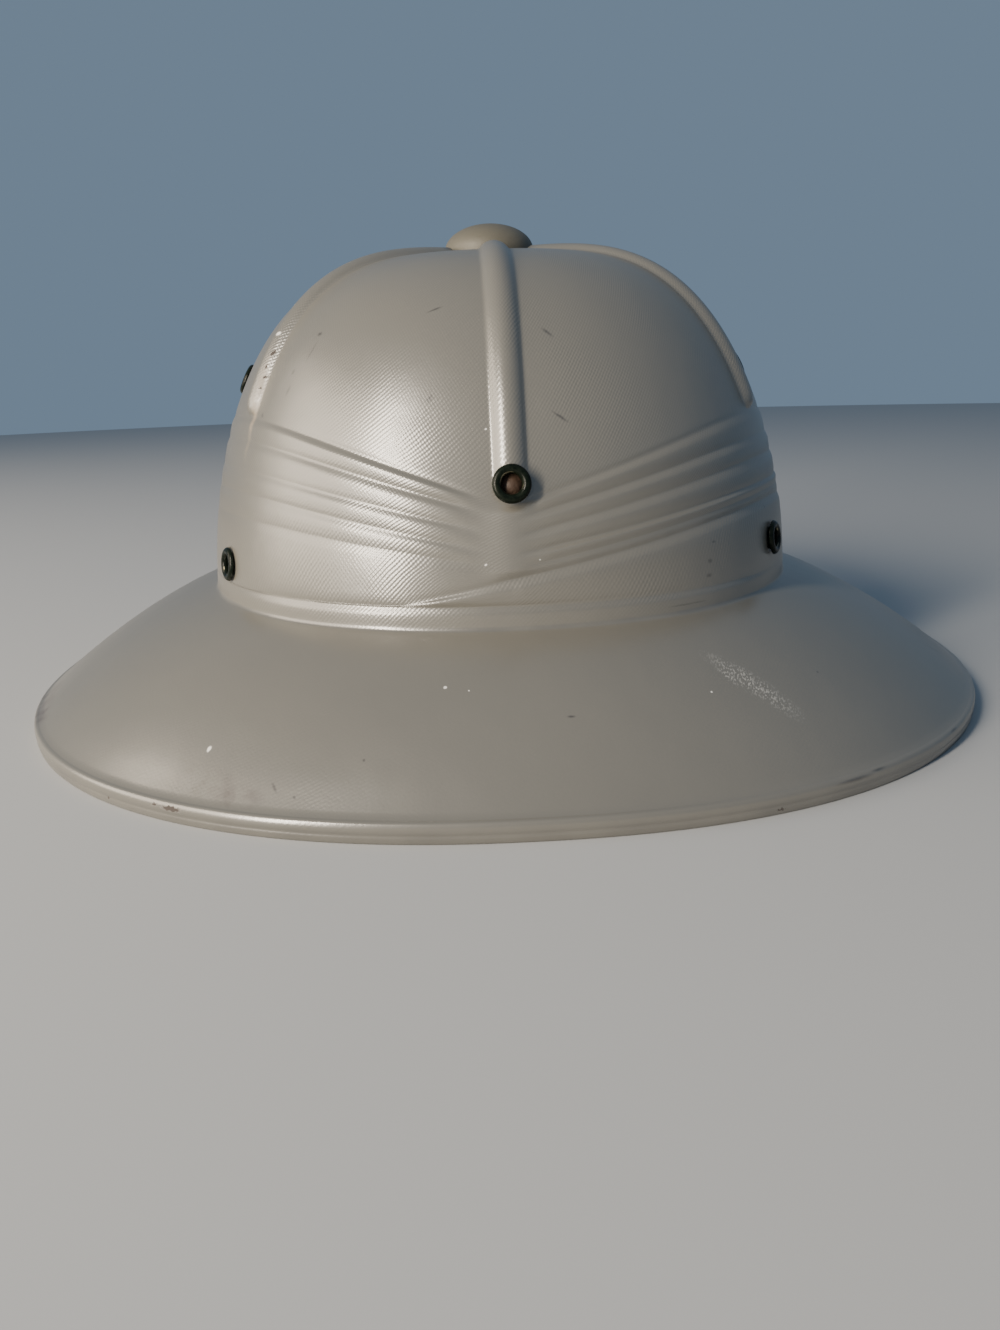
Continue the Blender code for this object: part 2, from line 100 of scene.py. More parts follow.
# Ribs from the button down to the folds
RIB_WIDTH = 8.5 * MM
RIB_HEIGHT = 2.3 * MM
RIB_SIDE_ANGLE = 54.0
RIB_FADE = 2.4 * MM
RIB_TIP = 4.5 * MM
RIB_FILLET = 0.12 * MM
RIB_END_SHARPNESS = 8
RIB_ANGLES = (0.0, RIB_SIDE_ANGLE, 180.0 - RIB_SIDE_ANGLE, 180.0,
              180.0 + RIB_SIDE_ANGLE, 360.0 - RIB_SIDE_ANGLE)

# Folds of the moulded scarf, highest first, and the keel where they meet at the front
FOLDS_FRONT = 31.0 * MM
FOLDS_SIDE = 53.4 * MM
FOLD_REACH = 57.0
FOLD_BOW = 1.05
FOLD_PROUD = 0.8 * MM
FOLD_CREST = 0.42
FOLD_RISE = 2.8 * MM
FOLD_GAP = 0.6 * MM
FOLD_MERGE = 1.8 * MM
FOLD_CREASE_DEPTH = 0.45
FOLD_CREASE_WIDTH = 0.8 * MM
FOLD_CENTRE = -2.0
FOLD_FADE_START = 2.0
FOLD_FADE_END = 8.0
FOLD_SIDE_START = 24.0
FOLD_SIDE_END = 62.0
FOLD_SIDE_SHARE = 0.42
BASE_BAND_HEIGHT = 5.2 * MM
BASE_BAND_PROUD = 0.4 * MM
BASE_BAND_STEP = 1.8 * MM
BASE_BAND_CREASE = 0.25 * MM
BASE_BAND_SIDE_SHARE = 0.1
KEEL_PROUD = 0.7 * MM
KEEL_WIDTH = 6.0 * MM
FOLD_TABLE = (
    ("front", "right", "left", "proud_right", "proud_left"),
    (1.000, 1.000, 0.950, 0.80, 0.85),
    (0.895, 0.880, 0.820, 0.60, 0.80),
    (0.757, 0.732, 0.710, 0.50, 0.80),
    (0.610, 0.618, 0.580, 0.42, 0.85),
    (0.500, 0.489, 0.530, 0.25, 0.10),
    (0.410, -0.052, 0.487, 0.70, 0.90),
)

# Eyelets, top button and sweatband
EYELETS = ("eyelet_front", "eyelet_low_right", "eyelet_low_left",
           "eyelet_high_right", "eyelet_high_left")
EYELET_RADIUS = 4.95 * MM
EYELET_HOLE = 2.6 * MM
EYELET_BARREL = 3.2 * MM
EYELET_DOME = 1.15 * MM
EYELET_TAIL = 0.7 * MM
EYELET_TAIL_RADIUS = 4.1 * MM
BUTTON_RADIUS = 14.2 * MM
BUTTON_EDGE = 1.6 * MM
BUTTON_DOME = 8.0 * MM
SHANK_RADIUS = 2.5 * MM
SHANK_TAIL_RADIUS = 4.2 * MM
SHANK_TAIL = 1.4 * MM
SWEATBAND_FOOT = 1.5 * MM
SWEATBAND_TOP = 43.0 * MM
SWEATBAND_HEM = 5.0 * MM
SWEATBAND_THICKNESS = 1.5 * MM
SWEATBAND_STANDOFF = 1.9 * MM
SWEATBAND_WAVE = 0.35 * MM
SWEATBAND_WAVES = (
    ("count", "phase", "share"),
    (7, 1.0, 1.0),
    (17, 0.0, 0.6),
)
BACKING_SUNK = 1.0 * MM
BACKING_GAP = 0.01 * MM

# Grid of the shell: columns in a sector between rib centres, columns on half a rib, and rows
SECTOR_COLUMNS = 63
RIB_COLUMNS = 11
RIB_REACH = 5.2 * MM
RIB_SECTOR_SHARE = 0.4
HOLE_ROWS = 7
DOME_ROWS = 60
TIP_ROWS = 8
TIP_CROWDING = 1.5
FOLD_RISE_ROWS = 5
FOLD_FACE_SHARES = (0.0, 0.3, 0.55, 0.75, 0.9)
BAND_ROWS = (1.12, 1.02, 0.93, 0.84, 0.7, 0.5, 0.3)
FILLET_ROWS = 5
BRIM_ROWS = 32
LIP_STEPS = 3
UNDERSIDE_SHARES = (0.93, 0.08)
UNDERSIDE_ROWS = 14
WALL_ROWS = 12
INNER_DOME_TOP = 0.998
INNER_DOME_ROWS = 22

# Steps round and along the turned pieces and the leather band
EYELET_SIDES = 64
EYELET_ROWS = 6
EYELET_FLANGE_ROWS = 20
EYELET_TAIL_ROWS = 12
DRILL_SIDES = 32
DRILL_REACH = 5 * WALL
BACKING_SIDES = 48
BUTTON_SIDES = 96
BUTTON_DOME_ROWS = 24
BUTTON_EDGE_ROWS = 6
SWEATBAND_COLUMNS = 240
SWEATBAND_HEM_ROWS = 5
SWEATBAND_OUTER_ROWS = 14
SWEATBAND_INNER_ROWS = 18
SWEATBAND_EDGE_ROWS = 6

# Wear, soil with painted shade, and bareness that the meshes store, from 0 to 1, with more painted
# shade on the backing.
# Lip levels are shares of LIP_HEIGHT, and the rub's place is a share of the flange's width.
RIB_WEAR = 0.2
LIP_WEAR_LEVEL = 0.7
LIP_WEAR_SPREAD = 0.3
LIP_SOIL_AND_SHADE_LEVEL = 0.35
LIP_SOIL_AND_SHADE_SPREAD = 0.35
VALLEY_DARKENING = 0.12
UNDERSIDE_BARE = 0.5
CORNER_BARE = 0.7
EYELET_RUB_PLACE = 0.12
EYELET_RUB_SPREAD = 0.25 * MM
BACKING_SHADE = 2.0

# Linen pressed into the paint: threads round the helmet, and relief on the brim and the crown
THREADS_ROUND = 520
LINEN_RADIUS = 100.0 * MM
LINEN_BRIM = 0.003 * MM
LINEN_CROWN = 0.018 * MM

# Relief of the finishes
PAINT_PEEL = 0.02 * MM
PAINT_WAVES = 0.12 * MM
CHIP_DEPTH = 0.03 * MM
BUTTON_GRAIN = 0.06 * MM
ENAMEL_RIPPLE = 0.03 * MM
LEATHER_CREASES = 0.4 * MM
LEATHER_PORES = 0.06 * MM

# Colours, linear
TAUPE_DEEP = (0.138, 0.130, 0.110, 1)
TAUPE_PALE = (0.150, 0.141, 0.119, 1)
TAUPE_FLECK = (0.14, 0.12, 0.10, 1)
# Soil and painted shade on the shell: the fillet's crease and the lip's groove
SOIL_AND_SHADE_GREY = (0.070, 0.066, 0.060, 1)
BARE_FIBRE = (0.16, 0.12, 0.085, 1)
WORN_TAN = (0.19, 0.150, 0.103, 1)
SMUDGE_BROWN = (0.065, 0.045, 0.036, 1)
SCUFF_PALE = (0.50, 0.50, 0.48, 1)
SPOT_DARK = (0.04, 0.034, 0.028, 1)
CHIP_DARK = (0.03, 0.018, 0.012, 1)
SPECK_WHITE = (0.80, 0.79, 0.75, 1)
BUTTON_DEEP = (0.098, 0.091, 0.069, 1)
BUTTON_PALE = (0.126, 0.118, 0.093, 1)
BUTTON_FLECK = (0.09, 0.07, 0.05, 1)
ENAMEL_DEEP = (0.003, 0.005, 0.003, 1)
ENAMEL_PALE = (0.008, 0.012, 0.007, 1)
RUBBED_METAL = (0.36, 0.33, 0.22, 1)
LEATHER_DEEP = (0.150, 0.090, 0.046, 1)
LEATHER_PALE = (0.230, 0.143, 0.078, 1)
# Soil on the band, and painted shade on the eyelet's backing
LEATHER_SOIL_AND_SHADE = (0.06, 0.035, 0.022, 1)
LEATHER_PORE = (0.05, 0.03, 0.02, 1)

# Wear marks, listed with azimuths and slants in degrees. Rise is a height in mm on the
# crown, a share of the width on the brim, and a level in mm on the lip. Slant 0 runs round the
# helmet and 90 runs up or out.
MARK_TABLE = (
    ("kind", "place", "azimuth", "rise", "length_mm", "slant", "width_mm"),
    ("speck", "brim", -8.6, 0.41, 0.0, 0, 0.8),
    ("speck", "brim", -5.9, 0.43, 0.0, 0, 0.35),
    ("speck", "brim", -32.2, 0.78, 0.5, 90, 1.0),
    ("speck", "brim", 20.9, 0.54, 0.0, 0, 0.5),
    ("speck", "crown", -3.5, 49.6, 0.0, 0, 0.5),
    ("speck", "crown", -4.0, 16.6, 0.2, 30, 0.45),
    ("speck", "crown", 3.6, 17.4, 0.0, 0, 0.35),
    ("speck", "crown", -53.0, 74.5, 0.8, 20, 1.1),
    ("worn", "crown", -52.0, 47.0, 19.0, 90, 2.6),
    ("chip", "crown", -51.9, 69.6, 0.8, 60, 1.0),
    ("chip", "crown", -52.1, 66.0, 0.6, 80, 0.8),
    ("chip", "crown", -51.8, 63.4, 1.0, 40, 0.8),
    ("chip", "crown", -51.9, 60.6, 0.5, 0, 0.6),
    ("chip", "lip", -33.6, 3.9, 2.8, 0, 1.5),
    ("chip", "lip", -34.9, 4.2, 0.4, 0, 0.9),
    ("chip", "lip", -41.3, 2.0, 0.2, 0, 0.9),
    ("chip", "lip", 22.0, 1.5, 1.0, 0, 0.6),
    ("smudge", "brim", -32.0, 0.91, 4.0, 0, 5.0),
    ("smudge", "brim", -27.5, 0.95, 3.0, 0, 4.0),
    ("smudge", "brim", -74.0, 0.96, 7.0, 0, 7.0),
    ("smudge", "brim", -67.5, 0.99, 4.0, 0, 5.0),
    ("spot", "brim", -23.7, 0.89, 1.4, 50, 0.6),
    ("spot", "brim", -21.2, 0.93, 0.0, 0, 0.7),
    ("spot", "brim", -15.6, 0.77, 0.0, 0, 0.6),
    ("spot", "brim", 4.6, 0.59, 0.8, 0, 0.6),
    ("spot", "brim", 36.1, 0.56, 0.0, 0, 0.6),
    ("spot", "crown", 31.0, 12.7, 0.4, 0, 1.0),
    ("spot", "crown", 30.6, 8.8, 1.0, 0, 0.9),
    ("spot", "crown", 49.2, 23.6, 0.0, 0, 0.8),
    ("spot", "crown", 31.9, 17.6, 0.6, 0, 0.6),
    ("spot", "crown", -38.9, 74.8, 0.4, 0, 1.1),
    ("spot", "crown", -42.4, 64.9, 0.4, 60, 1.0),
    ("spot", "crown", -42.2, 59.4, 1.8, 70, 0.9),
    ("spot", "crown", -48.8, 53.6, 0.4, 70, 0.8),
    ("spot", "crown", -12.6, 57.0, 0.8, 60, 1.0),
    ("scratch", "crown", -39.4, 68.0, 4.4, 70, 0.5),
    ("scratch", "crown", -14.4, 79.0, 3.6, 15, 0.5),
    ("scratch", "crown", 7.4, 73.4, 2.4, -35, 0.6),
    ("scratch", "crown", 7.3, 53.0, 3.6, -35, 0.5),
    ("scratch", "crown", 23.8, 2.2, 9.5, 0, 0.4),
    ("scratch", "brim", 64.5, 0.74, 12.0, 50, 0.5),
    ("scratch", "lip", 47.2, 5.0, 2.0, 0, 0.6),
    ("scratch", "lip", 45.6, 1.4, 2.0, 0, 0.6),
    ("scratch", "lip", 29.0, 4.4, 5.0, 0, 0.8),
    ("scratch", "lip", 33.0, 5.0, 2.0, 0, 0.6),
    ("scuff", "brim", 24.6, 0.42, 13.0, 62, 5.0),
    ("scuff", "brim", 23.8, 0.45, 2.6, 62, 2.4),
)

# Floor, sky and lights: sizes and distances in metres, power in watts, angles in degrees
FLOOR_RADII = (0.001, 0.3, 0.8, 2.2)
FLOOR_SIDES = 96
FLOOR_COLOUR = (0.45, 0.46, 0.47, 1)
SKY_COLOUR = (0.52, 0.73, 1.0, 1)
SKY_STRENGTH = 0.30
LIGHT_TABLE = (
    ("name", "azimuth", "elevation", "distance", "size", "power", "colour"),
    ("key", -43.0, 19.0, 1.3, (0.13, 1.0), 29.0, (1.0, 0.89, 0.74)),
    ("side", -78.0, 17.0, 1.5, (1.3, 1.1), 21.0, (1.0, 0.86, 0.68)),
)

# Camera: places in metres, roll in degrees, lens in mm
CAMERA_PLACE = (-13.2 * MM, -359.0 * MM, 100.5 * MM)
CAMERA_AIM = (-0.7 * MM, -8.1 * MM, -2.5 * MM)
CAMERA_ROLL = -1.87
CAMERA_LENS = 27.07


def rows_of(table):
    """Rows of a table as dictionaries, named by its first row."""
    return [dict(zip(table[0], row)) for row in table[1:]]


def smooth(x):
    """Cubic step: 0 below 0, 1 above 1, with level ends."""
    x = np.clip(x, 0, 1)
    return x * x * (3 - 2 * x)


def plan_radius(azimuth, side, front, rear, squareness):
    """Superellipse in polar form: (|sin/side|^n + |cos/half|^n)^(-1/n), half by front or rear."""
    half = np.where(np.cos(azimuth) > 0, front, rear)
    across = np.abs(np.sin(azimuth) / side) ** squareness
    along = np.abs(np.cos(azimuth) / half) ** squareness
    return (across + along) ** (-1 / squareness)


def crown_point(azimuth, height):
    """Smooth crown: sections shrink as (1 - share^shoulder)^(1/fullness) as they rise."""
    share = np.clip(height / CROWN_HEIGHT, 0.0, 1.0)
    closing = np.clip(1 - share ** SHOULDER_POWER, 0.0, 1.0)
    flare = (1 + CROWN_FLARE * (1 - share)) / (1 + CROWN_FLARE)
    side = closing ** (1 / SIDE_FULLNESS) * flare + SMALL_STEP
    along = closing ** (1 / FRONT_FULLNESS) * flare + SMALL_STEP
    radius = plan_radius(azimuth, CROWN_WIDTH / 2 * side, CROWN_FRONT * along,
                         CROWN_REAR * along, CROWN_SQUARENESS)
    tilt = JUNCTION_TILT * np.cos(azimuth) * (1 - share)
    return np.stack([radius * np.sin(azimuth),
                     AXIS_Y - radius * np.cos(azimuth) - CROWN_LEAN * share,
                     BRIM_DROP + height + tilt], axis=-1)


def from_crown_axis(point, height):
    """Distance of a point on the crown from its leaning axis."""
    return np.hypot(point[..., 0], point[..., 1] - AXIS_Y + CROWN_LEAN * height / CROWN_HEIGHT)


def edge_radius(azimuth):
    """Radius of the lip's outermost line, a superellipse."""
    return plan_radius(azimuth, BRIM_WIDTH / 2, BRIM_FRONT, BRIM_REAR, BRIM_SQUARENESS)


def from_axis(azimuth, radius, level):
    """Point at a radius from the crown's axis and a level above the floor."""
    return np.stack([radius * np.sin(azimuth), AXIS_Y - radius * np.cos(azimuth),
                     level + 0 * radius], axis=-1)


def brim_width(azimuth):
    """Distance from the crown's foot to where the lip starts."""
    return edge_radius(azimuth) - LIP_INSET - from_crown_axis(crown_point(azimuth, 0 * azimuth), 0)


def brim_point(azimuth, share):
    """Top of the brim: it falls as share + arch (share^2 - share), less a bell-shaped valley."""
    start = crown_point(azimuth, 0 * azimuth)
    inner = from_crown_axis(start, 0)
    outer = edge_radius(azimuth) - LIP_INSET
    fall = share + BRIM_ARCH * (share ** 2 - share)
    inset = (1 - share) * (outer - inner) + LIP_INSET
    valley = VALLEY_DEPTH * np.exp(-((inset - VALLEY_INSET) / VALLEY_WIDTH) ** 2)
    level = start[..., 2] + (LIP_HEIGHT + BEAD_RISE - start[..., 2]) * fall - valley
    return from_axis(azimuth, inner + (outer - inner) * share, level)


def surface_normal(surface, azimuth, second, up):
    """Unit normal of a two-parameter surface by central differences, on the side of up."""
    around = surface(azimuth + SMALL_STEP, second) - surface(azimuth - SMALL_STEP, second)
    along = surface(azimuth, second + SMALL_STEP) - surface(azimuth, second - SMALL_STEP)
    normal = np.cross(around, along) * up
    return normal / np.linalg.norm(normal, axis=-1, keepdims=True)


def crown_normal(azimuth, height):
    """Outward unit normal of the smooth crown."""
    return surface_normal(crown_point, azimuth, height, 1)


def brim_normal(azimuth, share):
    """Upward unit normal of the brim's top."""
    return surface_normal(brim_point, azimuth, share, -1)


def signed_azimuth(azimuth):
    """Azimuth brought to the range from -180 to 180 degrees, still in radians."""
    return (azimuth + math.pi) % (2 * math.pi) - math.pi


def side_ease(azimuth, share):
    """Strength of pressed relief: full at the front, a share of it beyond FOLD_SIDE_END."""
    beside = np.degrees(np.abs(signed_azimuth(azimuth) - math.radians(FOLD_CENTRE)))
    ease = smooth((beside - FOLD_SIDE_START) / (FOLD_SIDE_END - FOLD_SIDE_START))
    return 1 - (1 - share) * ease


def fold_lines(azimuth):
    """Height and proudness of every fold: a bowed sine from the front V up to the side.

    Past FOLD_REACH the height stays, and the right and left shares drift together at the back.
    """
    turn = signed_azimuth(azimuth)
    reach = np.radians(FOLD_REACH)
    rise = np.sin(np.clip(np.abs(turn) / reach, 0, 1) * math.pi / 2) ** FOLD_BOW
    back = np.clip((np.abs(turn) - reach) / (math.pi - reach), 0, 1) / 2
    on_left = np.where(turn > 0, 1 - back, back)
    foot = BASE_BAND_HEIGHT + 2 * FOLD_GAP
    beside = np.degrees(np.abs(turn - math.radians(FOLD_CENTRE)))
    fade = smooth((beside - FOLD_FADE_START) / (FOLD_FADE_END - FOLD_FADE_START))
    ease = side_ease(azimuth, FOLD_SIDE_SHARE)
    heights, proud = [], []
    for index, fold in enumerate(rows_of(FOLD_TABLE)):
        side = fold["right"] + (fold["left"] - fold["right"]) * on_left
        height = fold["front"] * FOLDS_FRONT * (1 - rise) + side * FOLDS_SIDE * rise
        strength = fold["proud_right"] + (fold["proud_left"] - fold["proud_right"]) * on_left
        merge = np.clip((height - foot) / FOLD_MERGE, 0, 1)
        crosses_front = index == len(FOLD_TABLE) - 2
        heights.append(np.maximum(height, foot))
        proud.append(strength * FOLD_PROUD * merge * ease * (1 if crosses_front else fade))
    return heights, proud


def fold_floor(heights, index):
    """Height where a fold's lower face ends: the next fold's crease or the base band."""
    if index + 1 < len(heights):
        return heights[index + 1]
    return BASE_BAND_HEIGHT + FOLD_GAP + 0 * heights[index]


def fold_rise(heights, index):
    """Height over which a fold steps out below its crease."""
    pitch = heights[index] - fold_floor(heights, index)
    return np.clip(FOLD_CREST * pitch, SMALL_STEP, FOLD_RISE)


def relief(azimuth, height):
    """Folds, base band and keel over the smooth crown.

    A fold steps out by a cubic step below its crease, then falls evenly to the next crease.
    The crease itself is a bell-shaped groove. The base band is a step with a crease above it,
    and both fade towards the sides.
    """
    heights, proud = fold_lines(azimuth)
    total = 0 * azimuth + 0 * height
    for index, (top, amount) in enumerate(zip(heights, proud)):
        low = fold_floor(heights, index)
        rise = fold_rise(heights, index)
        down = top - height
        face = np.clip((height - low) / np.maximum(top - rise - low, SMALL_STEP), 0, 1)
        crease = FOLD_CREASE_DEPTH * np.exp(-(down / FOLD_CREASE_WIDTH) ** 2)
        total = total + amount * (smooth(down / rise) * face - crease)
    above_band = height - BASE_BAND_HEIGHT - FOLD_GAP
    band_ease = side_ease(azimuth, BASE_BAND_SIDE_SHARE)
    band = smooth(-above_band / BASE_BAND_STEP)
    crease = BASE_BAND_CREASE * np.exp(-(above_band / FOLD_CREASE_WIDTH) ** 2)
    across = signed_azimuth(azimuth) * CROWN_FRONT / KEEL_WIDTH
    keel = np.exp(-across ** 2) * smooth((FOLDS_FRONT - height) / RIB_FADE)
    keel = keel * smooth((height - heights[-1]) / FOLD_RISE)
    return total + band_ease * (BASE_BAND_PROUD * band - crease) + KEEL_PROUD * keel


def rib_relief(azimuth, height, radius):
    """Ribs: a circle's segment across, softened into the crown by a soft maximum.

    The circle has radius (a^2 + h^2) / 2h for half-width a and height h. The lower tip is
    rounded like a quarter ellipse, and the upper end fades at the button.
    """
    centres = np.radians(RIB_ANGLES)
    away = np.abs(signed_azimuth(azimuth[:, None] - centres[None, :])).min(axis=1) * radius
    half = RIB_WIDTH / 2
    circle = (half ** 2 + RIB_HEIGHT ** 2) / (2 * RIB_HEIGHT)
    segment = np.sqrt(np.clip(circle ** 2 - away ** 2, 0, None)) - circle + RIB_HEIGHT
    end = fold_lines(azimuth)[0][0] + FOLD_GAP
    tip = np.clip((height - end) / RIB_TIP, 0, 1)
    low = np.sqrt(1 - (1 - tip) ** 2)
    top = smooth((radius - BUTTON_RADIUS - CLEARANCE) / RIB_FADE)
    standing = RIB_HEIGHT * (1 - low * top)
    soft = RIB_FILLET * np.logaddexp(0, (segment - standing) / RIB_FILLET)
    return soft * np.clip(low * top * RIB_END_SHARPNESS, 0, 1)


def skin_point(azimuth, height):
    """Painted outside of the crown, with its relief."""
    point = crown_point(azimuth, height)
    out = relief(azimuth, height) + rib_relief(azimuth, height, from_crown_axis(point, height))
    return point + crown_normal(azimuth, height) * out[..., None]


def rib_columns(radii):
    """Azimuths of all columns: rib columns at fixed distances, the rest even between."""
    offsets = np.linspace(0, RIB_REACH, RIB_COLUMNS)
    even_count = SECTOR_COLUMNS + 1 - 2 * len(offsets)
    centres = np.radians(RIB_ANGLES + (360.0,))
    azimuths = []
    for sector in range(len(RIB_ANGLES)):
        start, end = centres[sector], centres[sector + 1]
        limit = (end - start) * RIB_SECTOR_SHARE
        near = start + offsets * min(1 / radii[sector], limit / RIB_REACH)
        next_radius = radii[(sector + 1) % len(RIB_ANGLES)]
        far = end - offsets[:0:-1] * min(1 / next_radius, limit / RIB_REACH)
        between = np.linspace(near[-1], far[0], even_count + 2)[1:-1]
        azimuths.append(np.concatenate([near, between, far]))
    return np.concatenate(azimuths)


def even_columns():
    """Azimuths of the same columns, evenly spaced inside each sector."""
    centres = np.radians(RIB_ANGLES + (360.0,))
    return np.concatenate([np.linspace(a, b, SECTOR_COLUMNS, endpoint=False)
                           for a, b in zip(centres[:-1], centres[1:])])


def dome_turn(height):
    """Angle of a height on the dome: 0 at the very top, a quarter turn at the brim."""
    return np.arccos(np.clip(height / CROWN_HEIGHT, 0, 1) ** (SHOULDER_POWER / 2))


def height_at_radius(azimuth, radius):
    """Height where the smooth crown has a given radius, found by halving the interval."""
    halvings = 50
    low, high = 0 * azimuth, CROWN_HEIGHT + 0 * azimuth
    for _ in range(halvings):
        middle = (low + high) / 2
        outside = from_crown_axis(crown_point(azimuth, middle), middle) > radius
        low, high = np.where(outside, middle, low), np.where(outside, high, middle)
    return (low + high) / 2


class Sheet:
    """Rows of one grid, each with its azimuths, points, wear, soil-and-shade and inside values."""

    def __init__(self):
        self.azimuths, self.points, self.wear, self.soil, self.inside = [], [], [], [], []

    def add(self, azimuth, points, wear=0.0, soil=0.0, inside=0.0):
        """One more row. Wear, soil-and-shade and inside may be a number or one value for each
        column.
        """
        self.azimuths.append(azimuth)
        self.points.append(points)
        self.wear.append(wear + 0 * azimuth)
        self.soil.append(soil + 0 * azimuth)
        self.inside.append(inside + 0 * azimuth)

    def crown(self, height_at, spread):
        """A row of the painted crown. Spread 0 keeps columns on the ribs, 1 spaces them evenly."""
        rib_azimuths = np.radians(RIB_ANGLES)
        rib_heights = height_at(rib_azimuths)
        radii = from_crown_axis(crown_point(rib_azimuths, rib_heights), rib_heights)
        azimuth = rib_columns(radii) * (1 - spread) + even_columns() * spread
        height = height_at(azimuth)
        radius = from_crown_axis(crown_point(azimuth, height), height)
        rib = rib_relief(azimuth, height, radius) / RIB_HEIGHT
        self.add(azimuth, skin_point(azimuth, height), wear=RIB_WEAR * rib ** 3)


def button_hole(azimuth, level):
    """Rim of the button's hole at a level, round the crown's leaning top."""
    rim = from_axis(azimuth, SHANK_RADIUS + CLEARANCE + 0 * azimuth, level)
    rim[:, 1] -= CROWN_LEAN
    return rim


def crown_rows(sheet):
    """Outside of the crown, from the button's hole down to the base band."""
    azimuth = even_columns()
    sheet.add(azimuth, button_hole(azimuth, BRIM_DROP + CROWN_HEIGHT))
    outer_rim = BUTTON_RADIUS + CLEARANCE
    for radius in np.linspace(SHANK_RADIUS + 2 * CLEARANCE, outer_rim + RIB_FADE, HOLE_ROWS,
                              endpoint=False):
        sheet.crown(lambda a, r=radius: height_at_radius(a, r), 0.0)

    for share in np.linspace(0, 1, DOME_ROWS):
        def dome_height(a, s=share):
            start = dome_turn(height_at_radius(a, outer_rim + RIB_FADE))
            end = dome_turn(fold_lines(a)[0][0] + FOLD_GAP + RIB_TIP)
            return CROWN_HEIGHT * np.cos(start + (end - start) * s) ** (2 / SHOULDER_POWER)

        sheet.crown(dome_height, 0.0)
    for share in np.linspace(1, 0, TIP_ROWS + 1)[1:]:
        low = RIB_TIP * share ** TIP_CROWDING
        sheet.crown(lambda a, above=low: fold_lines(a)[0][0] + FOLD_GAP + above, 0.0)

    count = len(FOLD_TABLE) - 1
    rises = np.linspace(0, 1, FOLD_RISE_ROWS, endpoint=False)
    steps = [(rise, 0.0) for rise in rises] + [(1.0, face) for face in FOLD_FACE_SHARES]
    for index in range(count):
        for step, (rise_share, face_share) in enumerate(steps):
            def height_at(a, k=index, up=rise_share, face=face_share):
                heights = fold_lines(a)[0]
                rise = fold_rise(heights, k)
                length = heights[k] - rise - fold_floor(heights, k)
                return heights[k] - rise * up - length * face

            sheet.crown(height_at, (index + step / len(steps)) / count)
    for share in BAND_ROWS:
        sheet.crown(lambda a, s=share: s * BASE_BAND_HEIGHT + 0 * a, 1.0)


def brim_rows(sheet):
    """Fillet at the crown's foot as a quadratic curve with painted shade in its crease, then the
    brim's top to its lip.
    """
    azimuth = even_columns()
    wall = skin_point(azimuth, FILLET_UP + 0 * azimuth)
    foot = skin_point(azimuth, SMALL_STEP + 0 * azimuth)
    first = FILLET_OUT / brim_width(azimuth)
    out = brim_point(azimuth, first)
    # The fillet's soil value peaks along its middle: painted shade in the crease between crown and
    # brim.
    for t in np.linspace(0, 1, FILLET_ROWS, endpoint=False):
        curve = (1 - t) ** 2 * wall + 2 * t * (1 - t) * foot + t ** 2 * out
        sheet.add(azimuth, curve, soil=math.sin(math.pi * t))
    for share in np.linspace(0, 1, BRIM_ROWS, endpoint=False):
        at = first + (1 - first) * share
        inset = (1 - at) * brim_width(azimuth) + LIP_INSET
        # Darker along the shallow valley inside the bead.
        near_lip = np.exp(-((inset - VALLEY_INSET) / VALLEY_WIDTH / 2) ** 2)
        sheet.add(azimuth, brim_point(azimuth, at), soil=VALLEY_DARKENING * near_lip)


def lip_line():
    """The lip's outline as (out, level) pairs: a Catmull-Rom curve through LIP_TABLE."""
    start = [(-LIP_INSET, LIP_HEIGHT + BEAD_RISE)]
    table = start + [(out * LIP_WIDTH, level * LIP_HEIGHT) for out, level in LIP_TABLE[1:]]
    knots = np.array([table[0]] + table + [table[-1]])
    t = np.linspace(0, 1, LIP_STEPS, endpoint=False)[:, None]
    spans = []
    for a, b, c, d in zip(knots[:-3], knots[1:-2], knots[2:-1], knots[3:]):
        spans.append(b + (c - a) * t / 2 + (2 * a - 5 * b + 4 * c - d) * t ** 2 / 2
                     + (3 * b - a - 3 * c + d) * t ** 3 / 2)
    line = np.concatenate(spans + [knots[-1:]])
    line[:, 1] = np.clip(line[:, 1], 0, None)
    return line


def lip_rows(sheet):
    """Turned lip, worn along its outermost line, and darker round its groove with soil and painted
    shade.
    """
    azimuth = even_columns()
    for out, level in lip_line():
        share = level / LIP_HEIGHT
        wear = math.exp(-((share - LIP_WEAR_LEVEL) / LIP_WEAR_SPREAD) ** 2)
        # Soil and painted shade, darkest round the groove on the lip's outer face.
        soil = math.exp(-((share - LIP_SOIL_AND_SHADE_LEVEL) / LIP_SOIL_AND_SHADE_SPREAD) ** 2)
        outside = 1.0 if out > -LIP_WIDTH / 2 else 0.0
        sheet.add(azimuth, from_axis(azimuth, edge_radius(azimuth) + out, level),
                  wear=wear * outside, soil=soil * outside)


